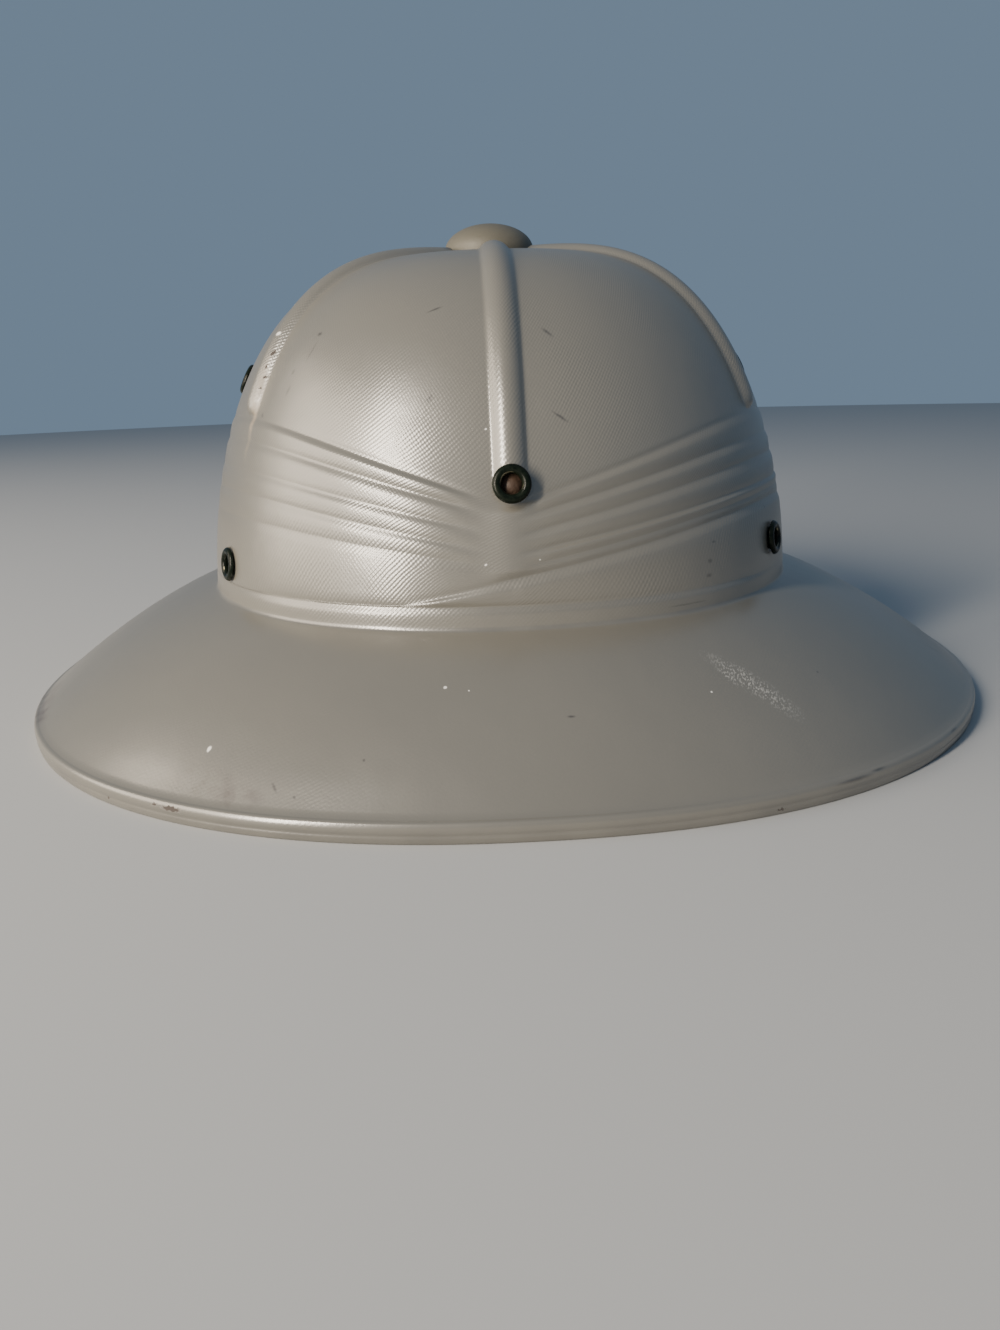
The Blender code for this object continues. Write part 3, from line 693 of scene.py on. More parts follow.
def inner_rows(sheet):
    """Underside of the brim and the hollow of the crown, one wall inside the smooth outside."""
    azimuth = even_columns()
    for share in np.linspace(*UNDERSIDE_SHARES, UNDERSIDE_ROWS):
        shares = share + 0 * azimuth
        points = brim_point(azimuth, shares) - WALL * brim_normal(azimuth, shares)
        sheet.add(azimuth, points, inside=UNDERSIDE_BARE)
    base = crown_point(azimuth, 0 * azimuth)
    corner = WALL / math.sqrt(2)
    corner_point = from_axis(azimuth, from_crown_axis(base, 0) - corner, base[:, 2] - corner)
    sheet.add(azimuth, corner_point, inside=CORNER_BARE)
    turns = np.linspace(dome_turn(SWEATBAND_TOP), dome_turn(INNER_DOME_TOP * CROWN_HEIGHT),
                        INNER_DOME_ROWS)
    dome = CROWN_HEIGHT * np.cos(turns) ** (2 / SHOULDER_POWER)
    for level in [*np.linspace(SWEATBAND_FOOT, SWEATBAND_TOP, WALL_ROWS), *dome[1:]]:
        level = level + 0 * azimuth
        points = crown_point(azimuth, level) - WALL * crown_normal(azimuth, level)
        sheet.add(azimuth, points, inside=1.0)
    sheet.add(azimuth, button_hole(azimuth, BRIM_DROP + CROWN_HEIGHT - WALL), inside=1.0)


def grid_quads(rings, columns, closed):
    """Corner numbers of a grid's quads. Each ring closes, and last to first ring if closed."""
    steps = rings if closed else rings - 1
    ring, column = np.meshgrid(np.arange(steps), np.arange(columns), indexing="ij")
    below, beside = (ring + 1) % rings, (column + 1) % columns
    corners = ((ring, column), (below, column), (below, beside), (ring, beside))
    return np.stack([r * columns + c for r, c in corners], axis=-1).reshape(-1, 4)


def smooth_mesh(name, points, faces):
    """Smooth-shaded mesh of points and faces."""
    mesh = bpy.data.meshes.new(name)
    mesh.from_pydata(points.reshape(-1, 3), [], faces)
    mesh.shade_smooth()
    return mesh


def closed_grid(name, points):
    """Mesh of quads on a grid that closes both ways, ring to ring and along each ring."""
    rings, columns = points.shape[:2]
    return smooth_mesh(name, points, grid_quads(rings, columns, closed=True))


def add_values(mesh, name, values):
    """Stores one number for each vertex under a name."""
    layer = mesh.attributes.new(name, "FLOAT", "POINT")
    layer.data.foreach_set("value", np.asarray(values, np.float32).ravel())


def add_linen_map(mesh, azimuths, points):
    """UV map in metres: azimuth times LINEN_RADIUS across, the mean path length down."""
    rings, columns = azimuths.shape
    steps = np.linalg.norm(np.diff(points, axis=0), axis=-1).mean(axis=1)
    down = np.concatenate([[0.0], np.cumsum(steps)])
    across = np.concatenate([azimuths, azimuths[:, :1] + 2 * math.pi], axis=1) * LINEN_RADIUS
    ring, column = np.meshgrid(np.arange(rings), np.arange(columns), indexing="ij")
    below = (ring + 1) % rings
    corners = ((ring, column), (below, column), (below, column + 1), (ring, column + 1))
    uv = np.stack([np.stack([across[r, c], down[r]], axis=-1) for r, c in corners], axis=2)
    layer = mesh.uv_layers.new(name="linen")
    layer.uv.foreach_set("vector", uv.astype(np.float32).ravel())


def new_object(name, data):
    """Object for a mesh, light or camera, linked to the scene."""
    made = bpy.data.objects.new(name, data)
    bpy.context.scene.collection.objects.link(made)
    return made


def place_piece(mesh, material, replaced=None):
    """Object for a finished mesh: it rides on the root body and may stand for a CAD node."""
    piece = new_object(mesh.name, mesh)
    mesh.materials.append(material)
    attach(piece, "root")
    if replaced:
        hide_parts(replaced)
    return piece


def turned_points(profile, centre, axis, sides):
    """Points of (radius, level) pairs turned about an axis: centre + level axis + radius ray."""
    axis = Vector(axis).normalized()
    first = axis.orthogonal().normalized()
    second = axis.cross(first)
    turn = np.linspace(0, 2 * math.pi, sides, endpoint=False)
    rays = np.outer(np.cos(turn), first) + np.outer(np.sin(turn), second)
    profile = np.asarray(profile)
    return (np.asarray(centre) + profile[:, 1, None, None] * np.asarray(axis)
            + profile[:, 0, None, None] * rays[None])


def turned_solid(name, profile, centre, axis, sides):
    """Closed mesh of a profile turned about an axis, with a fan of triangles at each pole.

    The profile's first and last points lie on the axis.
    """
    points = turned_points(profile, centre, axis, sides)
    rings = len(profile) - 2
    faces = grid_quads(rings, sides, closed=False).tolist()
    start, end = rings * sides, rings * sides + 1
    last = start - sides
    faces += [(start, i, (i + 1) % sides) for i in range(sides)]
    faces += [(end, last + (i + 1) % sides, last + i) for i in range(sides)]
    vertices = np.concatenate([points[1:-1].reshape(-1, 3), points[0, :1], points[-1, :1]])
    return smooth_mesh(name, vertices, faces)


def half_ellipse(start, end, level, rise, points):
    """(radius, level) pairs on a half ellipse from one radius to another."""
    turn = np.linspace(0, math.pi, points)
    radii = (start + end) / 2 + (start - end) / 2 * np.cos(turn)
    return list(zip(radii, level + rise * np.sin(turn)))


def eyelet_seat(node_name):
    """Centre on the flange's plane, outward axis and tail depth, read from the CAD node.

    The axis is the direction in which the ring's points vary unlike the other two.
    """
    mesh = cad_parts[node_name].data
    points = np.empty(len(mesh.vertices) * 3, np.float32)
    mesh.vertices.foreach_get("co", points)
    points = np.unique(points.reshape(-1, 3).astype(float).round(6), axis=0)
    middle = points.mean(axis=0)
    spread, directions = np.linalg.eigh(np.cov((points - middle).T))
    odd = 0 if spread[1] - spread[0] > spread[2] - spread[1] else 2
    axis = directions[:, odd]
    outward = middle - np.array([0, AXIS_Y, middle[2]])
    axis = axis * np.sign(axis @ outward)
    levels = (points - middle) @ axis
    radii = np.linalg.norm(points - middle - np.outer(levels, axis), axis=1)
    rim_share = 0.98
    flange = levels[radii > rim_share * radii.max()].mean()
    depth = flange - levels.min() - EYELET_TAIL
    return middle + flange * axis, axis, depth


def cut_holes(shell, seats):
    """Drills the shell for every eyelet's barrel with one Boolean, and applies it."""
    radius = EYELET_BARREL + CLEARANCE
    profile = [(radius, WALL), (radius, -DRILL_REACH)]
    points = np.array([turned_points(profile, centre, axis, DRILL_SIDES)
                       for centre, axis, _ in seats])
    around = np.arange(DRILL_SIDES)
    faces = []
    for drill in range(len(seats)):
        near = 2 * drill * DRILL_SIDES + around
        far = near + DRILL_SIDES
        faces += [near.tolist(), far[::-1].tolist()]
        faces += np.stack([near, far, np.roll(far, -1), np.roll(near, -1)], axis=1).tolist()
    mesh = bpy.data.meshes.new("drills")
    mesh.from_pydata(points.reshape(-1, 3), [], faces)
    drills = new_object("drills", mesh)
    cut = shell.modifiers.new("holes", "BOOLEAN")
    cut.operation = "DIFFERENCE"
    cut.solver = "MANIFOLD"
    cut.object = drills
    graph = bpy.context.evaluated_depsgraph_get()
    cut_mesh = bpy.data.meshes.new_from_object(shell.evaluated_get(graph))
    shell.modifiers.clear()
    shell.data = cut_mesh
    cut_mesh.name = shell.name
    bpy.data.objects.remove(drills)


def make_shell(material, seats):
    """The moulded shell as one closed grid, with holes for the eyelets."""
    sheet = Sheet()
    crown_rows(sheet)
    brim_rows(sheet)
    lip_rows(sheet)
    inner_rows(sheet)
    points, azimuths = np.array(sheet.points), np.array(sheet.azimuths)
    mesh = closed_grid("pressed_shell", points)
    for name in ("wear", "soil", "inside"):
        add_values(mesh, name, getattr(sheet, name))
    add_linen_map(mesh, azimuths, points)
    shell = place_piece(mesh, material, "shell")
    cut_holes(shell, seats)
    return shell


def make_eyelet(node_name, seat, material):
    """Rolled eyelet: a half-elliptic flange outside, a barrel and a curled tail inside."""
    centre, axis, depth = seat
    levels = np.linspace(0, -depth, EYELET_ROWS)
    barrel = [(EYELET_BARREL, level) for level in levels]
    tail = half_ellipse(EYELET_TAIL_RADIUS, EYELET_HOLE, -depth, -EYELET_TAIL, EYELET_TAIL_ROWS)
    bore = [(EYELET_HOLE, level) for level in levels[-2:0:-1]]
    flange = half_ellipse(EYELET_HOLE, EYELET_RADIUS, 0.0, EYELET_DOME, EYELET_FLANGE_ROWS)
    profile = barrel + tail + bore + flange
    mesh = closed_grid(node_name.replace("eyelet", "rolled_eyelet"),
                       turned_points(profile, centre, axis, EYELET_SIDES))
    rim = EYELET_HOLE + EYELET_RUB_PLACE * (EYELET_RADIUS - EYELET_HOLE)
    radii, heights = np.array(profile).T
    wear = np.exp(-((radii - rim) / EYELET_RUB_SPREAD) ** 2) * (heights > 0)
    add_values(mesh, "wear", np.repeat(wear, EYELET_SIDES))
    return place_piece(mesh, material, node_name)


def make_backing(seat, material):
    """Brown disc close behind the front eyelet's rim, half as thick as the leather band."""
    centre, axis, _ = seat
    radius, front = EYELET_HOLE - BACKING_GAP, -BACKING_SUNK
    back = front - SWEATBAND_THICKNESS / 2
    profile = [(0.0, back), (radius, back), (radius, front), (0.0, front)]
    mesh = turned_solid("eyelet_backing", profile, centre, axis, BACKING_SIDES)
    # A high soil value darkens the disc: painted shade of the dim hollow behind the hole.
    add_values(mesh, "soil", np.full(len(mesh.vertices), BACKING_SHADE))
    return place_piece(mesh, material)


def make_button(material):
    """Domed button: a half-elliptic dome on a rounded edge, over a shank with a spread tail."""
    seat = (0.0, AXIS_Y - CROWN_LEAN, BRIM_DROP + CROWN_HEIGHT + CLEARANCE)
    under = -WALL - 2 * CLEARANCE
    dome = [(BUTTON_RADIUS * math.cos(a), BUTTON_EDGE + BUTTON_DOME * math.sin(a))
            for a in np.linspace(0, math.pi / 2, BUTTON_DOME_ROWS)]
    edge = [(BUTTON_RADIUS - BUTTON_EDGE / 2 * (1 - math.sin(a)),
             BUTTON_EDGE / 2 * (1 - math.cos(a)))
            for a in np.linspace(0, math.pi / 2, BUTTON_EDGE_ROWS)]
    foot = [
        (0.0, under - SHANK_TAIL),
        (SHANK_TAIL_RADIUS, under - SHANK_TAIL),
        (SHANK_TAIL_RADIUS, under),
        (SHANK_RADIUS, under),
        (SHANK_RADIUS, 0.0),
    ]
    mesh = turned_solid("domed_button", foot + edge + dome, seat, (0, 0, 1), BUTTON_SIDES)
    return place_piece(mesh, material, "top_button")


def make_sweatband(material):
    """Leather band: an outline of inset and level carried round the crown, its top waving.

    The outline has half-round edges, and the wave is the sum of SWEATBAND_WAVES' sines.
    """
    azimuth = np.linspace(0, 2 * math.pi, SWEATBAND_COLUMNS, endpoint=False)
    half = SWEATBAND_THICKNESS / 2
    hem_top = SWEATBAND_FOOT + SWEATBAND_HEM
    free_foot = hem_top + SWEATBAND_STANDOFF
    low, high = SWEATBAND_FOOT + half, SWEATBAND_TOP - half
    outside = [(CLEARANCE, level) for level in np.linspace(low, hem_top, SWEATBAND_HEM_ROWS)]
    outside += [(SWEATBAND_STANDOFF, level)
                for level in np.linspace(free_foot, high, SWEATBAND_OUTER_ROWS)]
    inner = SWEATBAND_STANDOFF + SWEATBAND_THICKNESS
    inside = [(inner, level) for level in np.linspace(high, low, SWEATBAND_INNER_ROWS)]
    turn = np.linspace(0, math.pi, SWEATBAND_EDGE_ROWS)[1:-1]
    top = [((SWEATBAND_STANDOFF + inner) / 2 - half * math.cos(a), high + half * math.sin(a))
           for a in turn]
    foot_half = (inner - CLEARANCE) / 2
    foot = [((CLEARANCE + inner) / 2 + foot_half * math.cos(a), low - half * math.sin(a))
            for a in turn]
    waves = rows_of(SWEATBAND_WAVES)
    crests = sum(sine["share"] for sine in waves)
    wave = sum(sine["share"] * np.sin(sine["count"] * azimuth + sine["phase"]) for sine in waves)
    rings, soil = [], []
    for inset, level in outside + top + inside + foot:
        share = np.clip((level - hem_top) / (SWEATBAND_TOP - hem_top), 0, 1)
        height = level + 0 * azimuth
        inward = WALL + inset + SWEATBAND_WAVE * share * (1 + wave / crests)
        rings.append(crown_point(azimuth, height) - crown_normal(azimuth, height) * inward[:, None])
        soil.append(1 - share + 0 * azimuth)
    mesh = closed_grid("leather_band", np.array(rings[::-1]))
    add_values(mesh, "soil", soil[::-1])
    return place_piece(mesh, material, "sweatband")


def set_input(tree, socket, value):
    """Links an input to another node's output, or sets it to a plain value."""
    if isinstance(value, bpy.types.NodeSocket):
        tree.links.new(value, socket)
    else:
        socket.default_value = value


def add_node(tree, kind, inputs=None, **settings):
    """A shader node with its settings, and its inputs linked or set by name or number."""
    made = tree.nodes.new(kind)
    for key, value in settings.items():
        setattr(made, key, value)
    for key, value in (inputs or {}).items():
        set_input(tree, made.inputs[key], value)
    return made


def maths(tree, operation, first, second=0.0, clamp=False):
    """The result of a Math node."""
    made = add_node(tree, "ShaderNodeMath", {0: first, 1: second}, operation=operation)
    made.use_clamp = clamp
    return made.outputs[0]


def vector_maths(tree, operation, first, second, output="Vector"):
    """The result of a Vector Math node."""
    made = add_node(tree, "ShaderNodeVectorMath", {0: first, 1: second}, operation=operation)
    return made.outputs[output]


def blend_colour(tree, factor, first, second):
    """One colour mixed into another by a factor. A colour Mix uses inputs 6, 7 and output 2."""
    made = tree.nodes.new("ShaderNodeMix")
    made.data_type = "RGBA"
    for key, value in ((0, factor), (6, first), (7, second)):
        set_input(tree, made.inputs[key], value)
    return made.outputs[2]


def stain(tree, colour, mask, strength, shade):
    """A shade laid over a colour where the mask is high, as far as the strength says."""
    return blend_colour(tree, maths(tree, "MULTIPLY", mask, strength), colour, shade)


def ramp(tree, value, low, high, start=0.0, end=1.0):
    """Value carried evenly from the range low..high to start..end, and held at the ends."""
    made = add_node(tree, "ShaderNodeMapRange", {0: value, 1: low, 2: high, 3: start, 4: end})
    return made.outputs[0]


def noise(tree, position, scale, detail=3.0):
    """Noise values round 0.5 at a scale in cells per metre."""
    made = add_node(tree, "ShaderNodeTexNoise",
                    {"Vector": position, "Scale": scale, "Detail": detail})
    return made.outputs["Fac"]


def new_group(name, inputs, outputs):
    """An empty shader node group with named sockets, and its two end nodes."""
    group = bpy.data.node_groups.new(name, "ShaderNodeTree")
    for in_out, sockets in (("INPUT", inputs), ("OUTPUT", outputs)):
        for socket_name, kind in sockets:
            group.interface.new_socket(socket_name, in_out=in_out, socket_type="NodeSocket" + kind)
    return group, group.nodes.new("NodeGroupInput"), group.nodes.new("NodeGroupOutput")


def use_group(tree, group, inputs):
    """A node that places a group in a material."""
    return add_node(tree, "ShaderNodeGroup", inputs, node_tree=group)


def linen_group():
    """Linen pressed into the paint: two crossed sets of threads, patchy where paint fills them.

    Each set is a sine of the map's position along its own diagonal.
    """
    group, given, result = new_group(
        "linen_weave", [("Map", "Vector"), ("Position", "Vector"), ("Patchiness", "Float")],
        [("Height", "Float")])
    turns = THREADS_ROUND / LINEN_RADIUS
    drift = noise(group, given.outputs["Position"], scale=300.0, detail=1.0)
    wobble = maths(group, "MULTIPLY", drift, 2.5)
    parts = add_node(group, "ShaderNodeSeparateXYZ", {0: given.outputs["Map"]}).outputs
    across = maths(group, "MULTIPLY", parts[0], turns)
    down = maths(group, "MULTIPLY", parts[1], turns)
    phases = [maths(group, sign, maths(group, sign, across, down), wobble)
              for sign in ("ADD", "SUBTRACT")]
    warp, weft = [maths(group, "SINE", phase) for phase in phases]
    woven = maths(group, "ADD", warp, maths(group, "MULTIPLY", weft, 0.35))
    cover = noise(group, given.outputs["Position"], scale=45.0, detail=1.0)
    patches = ramp(group, cover, low=0.35, high=0.7)
    bare = maths(group, "SUBTRACT", 1.0, given.outputs["Patchiness"])
    amount = maths(group, "ADD", bare, maths(group, "MULTIPLY", patches,
                                            given.outputs["Patchiness"]))
    height = maths(group, "MULTIPLY", woven, amount)
    group.links.new(height, result.inputs["Height"])
    return group


def mottle_group():
    """Uneven paint: slow clouds and finer flecks, centred on 0."""
    group, given, result = new_group("paint_mottle", [("Position", "Vector"), ("Seed", "Vector")],
                                     [("Clouds", "Float"), ("Flecks", "Float")])
    position = vector_maths(group, "ADD", given.outputs["Position"], given.outputs["Seed"])
    for name, scale, detail in (("Clouds", 18.0, 3.0), ("Flecks", 900.0, 2.0)):
        level = maths(group, "SUBTRACT", noise(group, position, scale, detail), 0.5)
        group.links.new(level, result.inputs[name])
    return group


def wear_group():
    """Worn patches where the piece's wear value is high: a mask where grain plus wear pass 1."""
    group, given, result = new_group(
        "edge_wear", [("Position", "Vector"), ("Wear", "Float"), ("Amount", "Float")],
        [("Mask", "Float"), ("Grain", "Float")])
    grain = noise(group, given.outputs["Position"], scale=260.0, detail=3.0)
    level = maths(group, "MULTIPLY", given.outputs["Wear"], given.outputs["Amount"])
    reach = maths(group, "SUBTRACT", maths(group, "ADD", grain, level), 1.0)
    mask = ramp(group, reach, low=0.0, high=0.12)
    group.links.new(mask, result.inputs["Mask"])
    group.links.new(grain, result.inputs["Grain"])
    return group


GROUPS = {"linen": linen_group(), "mottle": mottle_group(), "wear": wear_group()}


def attribute(tree, name):
    """The value that a mesh stores under a name."""
    return add_node(tree, "ShaderNodeAttribute", attribute_name=name).outputs["Fac"]


def new_material(name):
    """A material with its tree, shader and Object coordinates."""
    material = bpy.data.materials.new(name)
    material.use_nodes = True
    tree = material.node_tree
    shader = tree.nodes["Principled BSDF"]
    position = tree.nodes.new("ShaderNodeTexCoord").outputs["Object"]
    return material, tree, shader, position


def clouded_colour(tree, position, seed, deep, pale):
    """A colour that drifts from deep to pale, with the drift from 0 to 1 and raw flecks."""
    mottle = use_group(tree, GROUPS["mottle"], {"Position": position, "Seed": seed}).outputs
    clouds = ramp(tree, mottle["Clouds"], low=-0.25, high=0.25)
    return blend_colour(tree, clouds, deep, pale), clouds, mottle["Flecks"]


def feed_shader(tree, shader, colour, rough, height):
    """Gives a shader its colour, its roughness and a relief height in metres."""
    tree.links.new(colour, shader.inputs["Base Color"])
    tree.links.new(rough, shader.inputs["Roughness"])
    bump = add_node(tree, "ShaderNodeBump", {"Height": height, "Distance": 1.0})
    tree.links.new(bump.outputs[0], shader.inputs["Normal"])


def mark_ends(mark):
    """The two ends of a mark, on the painted skin of the crown, brim or lip."""
    slant = math.radians(mark["slant"])
    shift = mark["length_mm"] * MM * np.array([0.0, 1.0])
    azimuth = math.radians(mark["azimuth"]) + shift * math.cos(slant) / LINEN_RADIUS
    climb = shift * math.sin(slant)
    if mark["place"] == "crown":
        return skin_point(azimuth, mark["rise"] * MM + climb)
    if mark["place"] == "brim":
        return brim_point(azimuth, mark["rise"] + climb / brim_width(azimuth))
    outer = np.array([pair for pair in lip_line() if pair[0] > -LIP_WIDTH / 2])[::-1]
    out = np.interp(mark["rise"] * MM, outer[:, 1], outer[:, 0])
    return from_axis(azimuth, edge_radius(azimuth) + out, mark["rise"] * MM)


def marks_of(tree, position, kind, softness):
    """Mask of every mark of one kind in MARK_TABLE: balls stretched along their marks."""
    nearest = None
    for mark in rows_of(MARK_TABLE):
        if mark["kind"] != kind:
            continue
        start, end = mark_ends(mark)
        radius = mark["width_mm"] * MM / 2
        line = Vector(end - start)
        local = add_node(tree, "ShaderNodeMapping", {
            "Vector": position, "Location": tuple((start + end) / 2),
            "Rotation": line.to_track_quat("X", "Z").to_euler(),
            "Scale": (radius + line.length / 2, radius, radius)}, vector_type="TEXTURE")
        away = vector_maths(tree, "LENGTH", local.outputs[0], (0, 0, 0), "Value")
        nearest = away if nearest is None else maths(tree, "MINIMUM", nearest, away)
    return ramp(tree, nearest, 1 + softness, 1 - softness)


def ragged(tree, position, scale, amount):
    """Position shifted by noise, so that what is drawn on it gets an uneven edge."""
    colour = add_node(tree, "ShaderNodeTexNoise", {"Vector": position, "Scale": scale})
    centred = vector_maths(tree, "SUBTRACT", colour.outputs["Color"], (0.5, 0.5, 0.5))
    shift = add_node(tree, "ShaderNodeVectorMath", {0: centred, "Scale": amount},
                     operation="SCALE").outputs[0]
    return vector_maths(tree, "ADD", position, shift)


def shell_paint():
    """Satin taupe paint over linen-faced fibre, with the marks of use in MARK_TABLE."""
    material, tree, shader, position = new_material("taupe_paint")
    shader.inputs["Specular IOR Level"].default_value = 1.0
    shader.inputs["IOR"].default_value = 1.72
    linen_map = add_node(tree, "ShaderNodeUVMap", uv_map="linen").outputs[0]
    wear = use_group(tree, GROUPS["wear"], {"Position": position, "Amount": 0.34,
                                           "Wear": attribute(tree, "wear")}).outputs
    blots = ramp(tree, noise(tree, position, scale=60.0, detail=2.0), low=0.35, high=0.75)
    soil = maths(tree, "MULTIPLY", attribute(tree, "soil"), blots)
    inside = attribute(tree, "inside")

    colour, clouds, flecks = clouded_colour(tree, position, (0, 0, 0), TAUPE_DEEP, TAUPE_PALE)
    colour = stain(tree, colour, ramp(tree, flecks, low=0.12, high=0.3), 0.12, TAUPE_FLECK)
    # Darker where the soil value is high: painted shade in the fillet's crease, soil and painted
    # shade in the lip's groove, and a darker valley inside the bead.
    colour = stain(tree, colour, soil, 0.55, SOIL_AND_SHADE_GREY)
    colour = stain(tree, colour, inside, 0.35, BARE_FIBRE)
    edged = ragged(tree, position, scale=900.0, amount=0.9 * MM)
    worn = maths(tree, "MULTIPLY", marks_of(tree, edged, "worn", softness=0.5),
                 ramp(tree, wear["Grain"], low=0.3, high=0.6))
    worn = maths(tree, "MAXIMUM", worn, maths(tree, "MULTIPLY", wear["Mask"], 0.6))
    colour = blend_colour(tree, worn, colour, WORN_TAN)
    smudge = maths(tree, "MULTIPLY", marks_of(tree, edged, "smudge", softness=0.8),
                   ramp(tree, wear["Grain"], low=0.40, high=0.68))
    colour = blend_colour(tree, smudge, colour, SMUDGE_BROWN)
    lines = vector_maths(tree, "MULTIPLY", position, (2400.0, 300.0, 2400.0))
    lines = ramp(tree, noise(tree, lines, scale=1.0, detail=2.0), low=0.52, high=0.6)
    scuff = maths(tree, "MULTIPLY", marks_of(tree, edged, "scuff", softness=0.6), lines)
    colour = stain(tree, colour, scuff, 0.5, SCUFF_PALE)
    fine = ragged(tree, position, scale=1400.0, amount=0.35 * MM)
    spot = maths(tree, "MAXIMUM", marks_of(tree, fine, "spot", softness=0.5),
                 marks_of(tree, fine, "scratch", softness=0.6))
    colour = stain(tree, colour, spot, 0.8, SPOT_DARK)
    torn = ragged(tree, position, scale=1100.0, amount=1.6 * MM)
    chip = marks_of(tree, torn, "chip", softness=0.2)
    colour = blend_colour(tree, chip, colour, CHIP_DARK)
    colour = blend_colour(tree, marks_of(tree, fine, "speck", softness=0.3), colour, SPECK_WHITE)

    rough = maths(tree, "ADD", 0.28, maths(tree, "MULTIPLY", clouds, 0.03))
    dull = chip
    for mask, share in ((scuff, 0.5), (worn, 0.5), (inside, 0.3)):
        dull = maths(tree, "MAXIMUM", dull, maths(tree, "MULTIPLY", mask, share))
    rough = maths(tree, "ADD", rough, maths(tree, "MULTIPLY", dull, 0.7), clamp=True)

    weave = use_group(tree, GROUPS["linen"], {
        "Map": linen_map, "Position": position, "Patchiness": 0.7}).outputs[0]
    level = add_node(tree, "ShaderNodeSeparateXYZ", {0: position}).outputs[2]
    depth = ramp(tree, level, BRIM_DROP, BRIM_DROP + BASE_BAND_HEIGHT, LINEN_BRIM, LINEN_CROWN)
    height = maths(tree, "MULTIPLY", weave, depth)
    for scale, detail, relief_depth in ((1300.0, 2.0, PAINT_PEEL), (90.0, 1.0, PAINT_WAVES)):
        rise = maths(tree, "MULTIPLY", noise(tree, position, scale, detail), relief_depth)
        height = maths(tree, "ADD", height, rise)
    height = maths(tree, "SUBTRACT", height, maths(tree, "MULTIPLY", chip, CHIP_DEPTH))
    feed_shader(tree, shader, colour, rough, height)
    return material


def button_paint():
    """Dull taupe paint, browner than the shell's, with a few dark flecks."""
    material, tree, shader, position = new_material("button_paint")
    colour, clouds, flecks = clouded_colour(tree, position, (0.3, 0.1, 0.2),
                                            BUTTON_DEEP, BUTTON_PALE)
    colour = stain(tree, colour, ramp(tree, flecks, low=0.13, high=0.25), 0.45, BUTTON_FLECK)
    rough = maths(tree, "ADD", 0.46, maths(tree, "MULTIPLY", clouds, 0.12))
    grain = noise(tree, position, scale=1200.0, detail=4.0)
    feed_shader(tree, shader, colour, rough, maths(tree, "MULTIPLY", grain, BUTTON_GRAIN))
    return material


def eyelet_enamel():
    """Black-green enamel, rubbed through to pale metal on the hole's rim."""
    material, tree, shader, position = new_material("eyelet_enamel")
    shader.inputs["Specular IOR Level"].default_value = 0.15
    mottle = use_group(tree, GROUPS["mottle"], {"Position": position}).outputs
    flecks = ramp(tree, mottle["Flecks"], low=-0.2, high=0.3)
    colour = blend_colour(tree, flecks, ENAMEL_DEEP, ENAMEL_PALE)
    rubbed = use_group(tree, GROUPS["wear"], {"Position": position, "Amount": 0.5,
                                             "Wear": attribute(tree, "wear")}).outputs["Mask"]
    colour = blend_colour(tree, rubbed, colour, RUBBED_METAL)
    tree.links.new(rubbed, shader.inputs["Metallic"])
    rough = maths(tree, "ADD", 0.24, maths(tree, "MULTIPLY", flecks, 0.1))
    ripple = noise(tree, position, scale=1500.0, detail=3.0)
    feed_shader(tree, shader, colour, rough, maths(tree, "MULTIPLY", ripple, ENAMEL_RIPPLE))
    return material


def band_leather():
    """Brown leather with pores and soft creases, darker towards its foot, and darker still as
    painted shade on the eyelet's backing.
    """
    material, tree, shader, position = new_material("band_leather")
    colour, clouds, _ = clouded_colour(tree, position, (0.7, 0.4, 0.1),
                                       LEATHER_DEEP, LEATHER_PALE)
    # Darker by the soil value: towards the band's foot, and as painted shade on the backing.
    colour = stain(tree, colour, attribute(tree, "soil"), 0.5, LEATHER_SOIL_AND_SHADE)
    pores = add_node(tree, "ShaderNodeTexVoronoi", {"Vector": position, "Scale": 1100.0})
    pores = ramp(tree, pores.outputs["Distance"], low=0.0, high=0.5)
    colour = stain(tree, colour, maths(tree, "SUBTRACT", 1.0, pores), 0.25, LEATHER_PORE)
    rough = maths(tree, "ADD", 0.45, maths(tree, "MULTIPLY", clouds, 0.2))
    creases = noise(tree, position, scale=160.0, detail=4.0)
    height = maths(tree, "ADD", maths(tree, "MULTIPLY", creases, LEATHER_CREASES),
                   maths(tree, "MULTIPLY", pores, LEATHER_PORES))
    feed_shader(tree, shader, colour, rough, height)
    return material


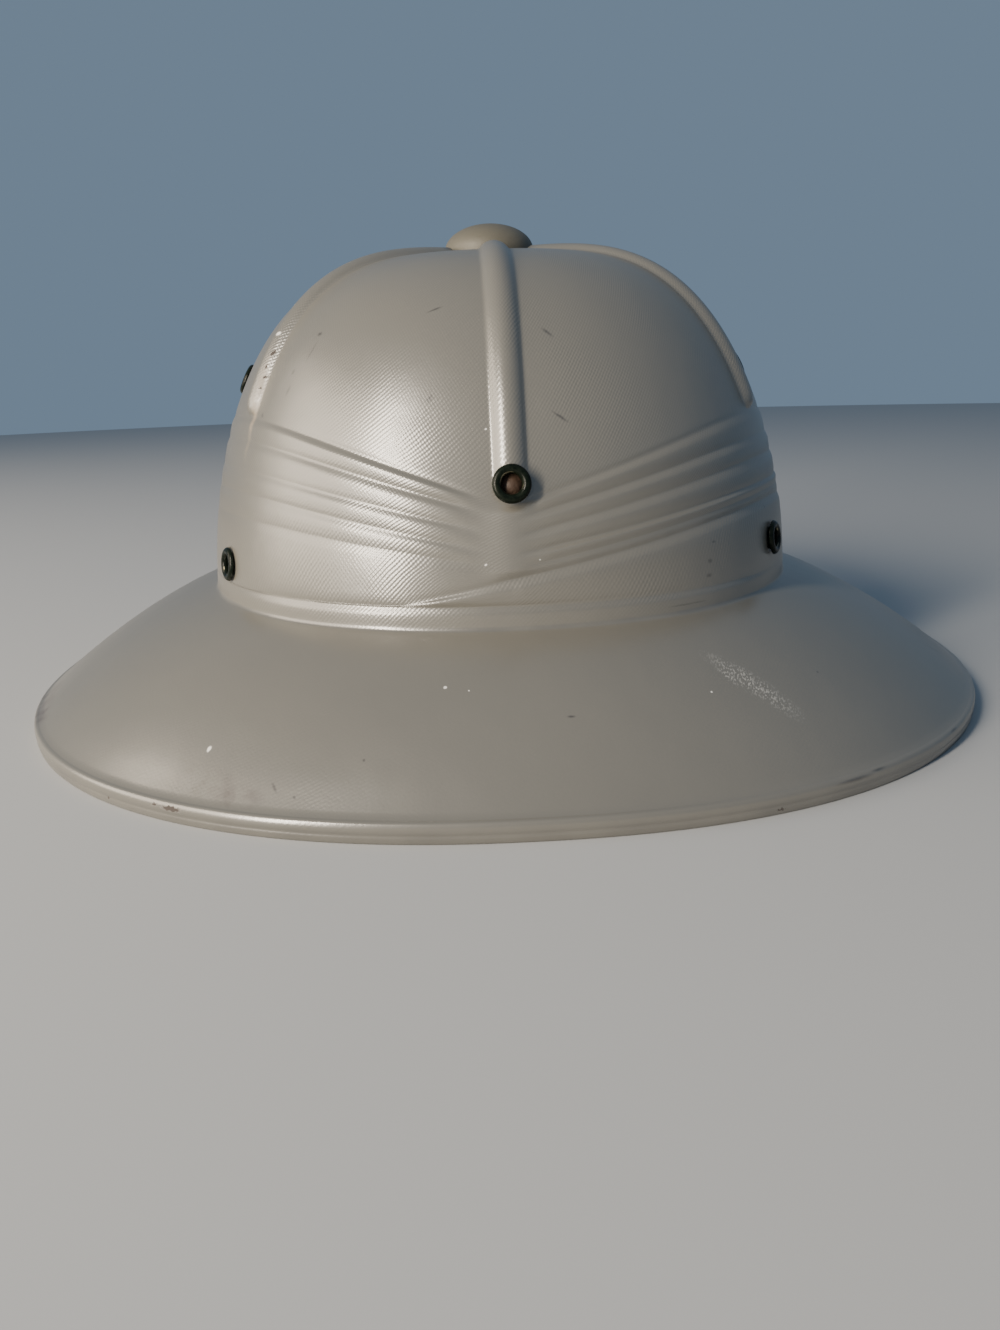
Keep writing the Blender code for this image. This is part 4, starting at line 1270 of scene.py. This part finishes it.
def make_stage():
    """Plain pale floor: a wide flat disc, a profile turned about +Z."""
    profile = [(radius, 0.0) for radius in FLOOR_RADII]
    points = turned_points(profile, (0, 0, 0), (0, 0, 1), FLOOR_SIDES)
    faces = grid_quads(len(profile), FLOOR_SIDES, closed=False)[:, ::-1]
    mesh = bpy.data.meshes.new("studio_floor")
    mesh.from_pydata(points.reshape(-1, 3), [], faces)
    floor = new_object("studio_floor", mesh)
    material, _, shader, _ = new_material("floor_paper")
    shader.inputs["Base Color"].default_value = FLOOR_COLOUR
    shader.inputs["Roughness"].default_value = 0.9
    shader.inputs["Specular IOR Level"].default_value = 0.0
    mesh.materials.append(material)


def add_light(name, azimuth, elevation, distance, size, power, colour):
    """Rectangular light that faces the helmet from an azimuth and elevation in degrees."""
    data = bpy.data.lights.new(name, "AREA")
    data.shape = "RECTANGLE"
    data.size, data.size_y = size
    data.energy = power
    data.color = colour
    light = new_object(name, data)
    a, e = math.radians(azimuth), math.radians(elevation)
    back = Vector((math.sin(a) * math.cos(e), -math.cos(a) * math.cos(e), math.sin(e)))
    light.location = Vector((0, AXIS_Y, BRIM_DROP + CROWN_HEIGHT / 3)) + back * distance
    light.rotation_mode = "QUATERNION"
    light.rotation_quaternion = (-back).to_track_quat("-Z", "Y")
    light.visible_camera = False


def light_stage():
    """Soft studio light: a tall window-like key at the left front, a side fill and a cool sky."""
    for light in rows_of(LIGHT_TABLE):
        add_light(**light)
    world = bpy.data.worlds.new("studio")
    world.use_nodes = True
    background = world.node_tree.nodes["Background"]
    background.inputs["Color"].default_value = SKY_COLOUR
    background.inputs["Strength"].default_value = SKY_STRENGTH
    bpy.context.scene.world = world


def place_camera():
    """Camera at the photograph's viewing angle, a little above the floor."""
    data = bpy.data.cameras.new("camera")
    data.lens = CAMERA_LENS
    data.clip_start = 0.01
    camera = new_object("camera", data)
    camera.location = CAMERA_PLACE
    forward = Vector(CAMERA_AIM) - Vector(CAMERA_PLACE)
    camera.rotation_mode = "QUATERNION"
    roll = Quaternion((0, 0, 1), math.radians(CAMERA_ROLL))
    camera.rotation_quaternion = forward.to_track_quat("-Z", "Y") @ roll
    bpy.context.scene.camera = camera


seats = {name: eyelet_seat(name) for name in EYELETS}
make_shell(shell_paint(), list(seats.values()))
enamel = eyelet_enamel()
for eyelet_name, eyelet_place in seats.items():
    make_eyelet(eyelet_name, eyelet_place, enamel)
make_button(button_paint())
leather = band_leather()
make_sweatband(leather)
make_backing(seats["eyelet_front"], leather)
make_stage()
light_stage()
place_camera()
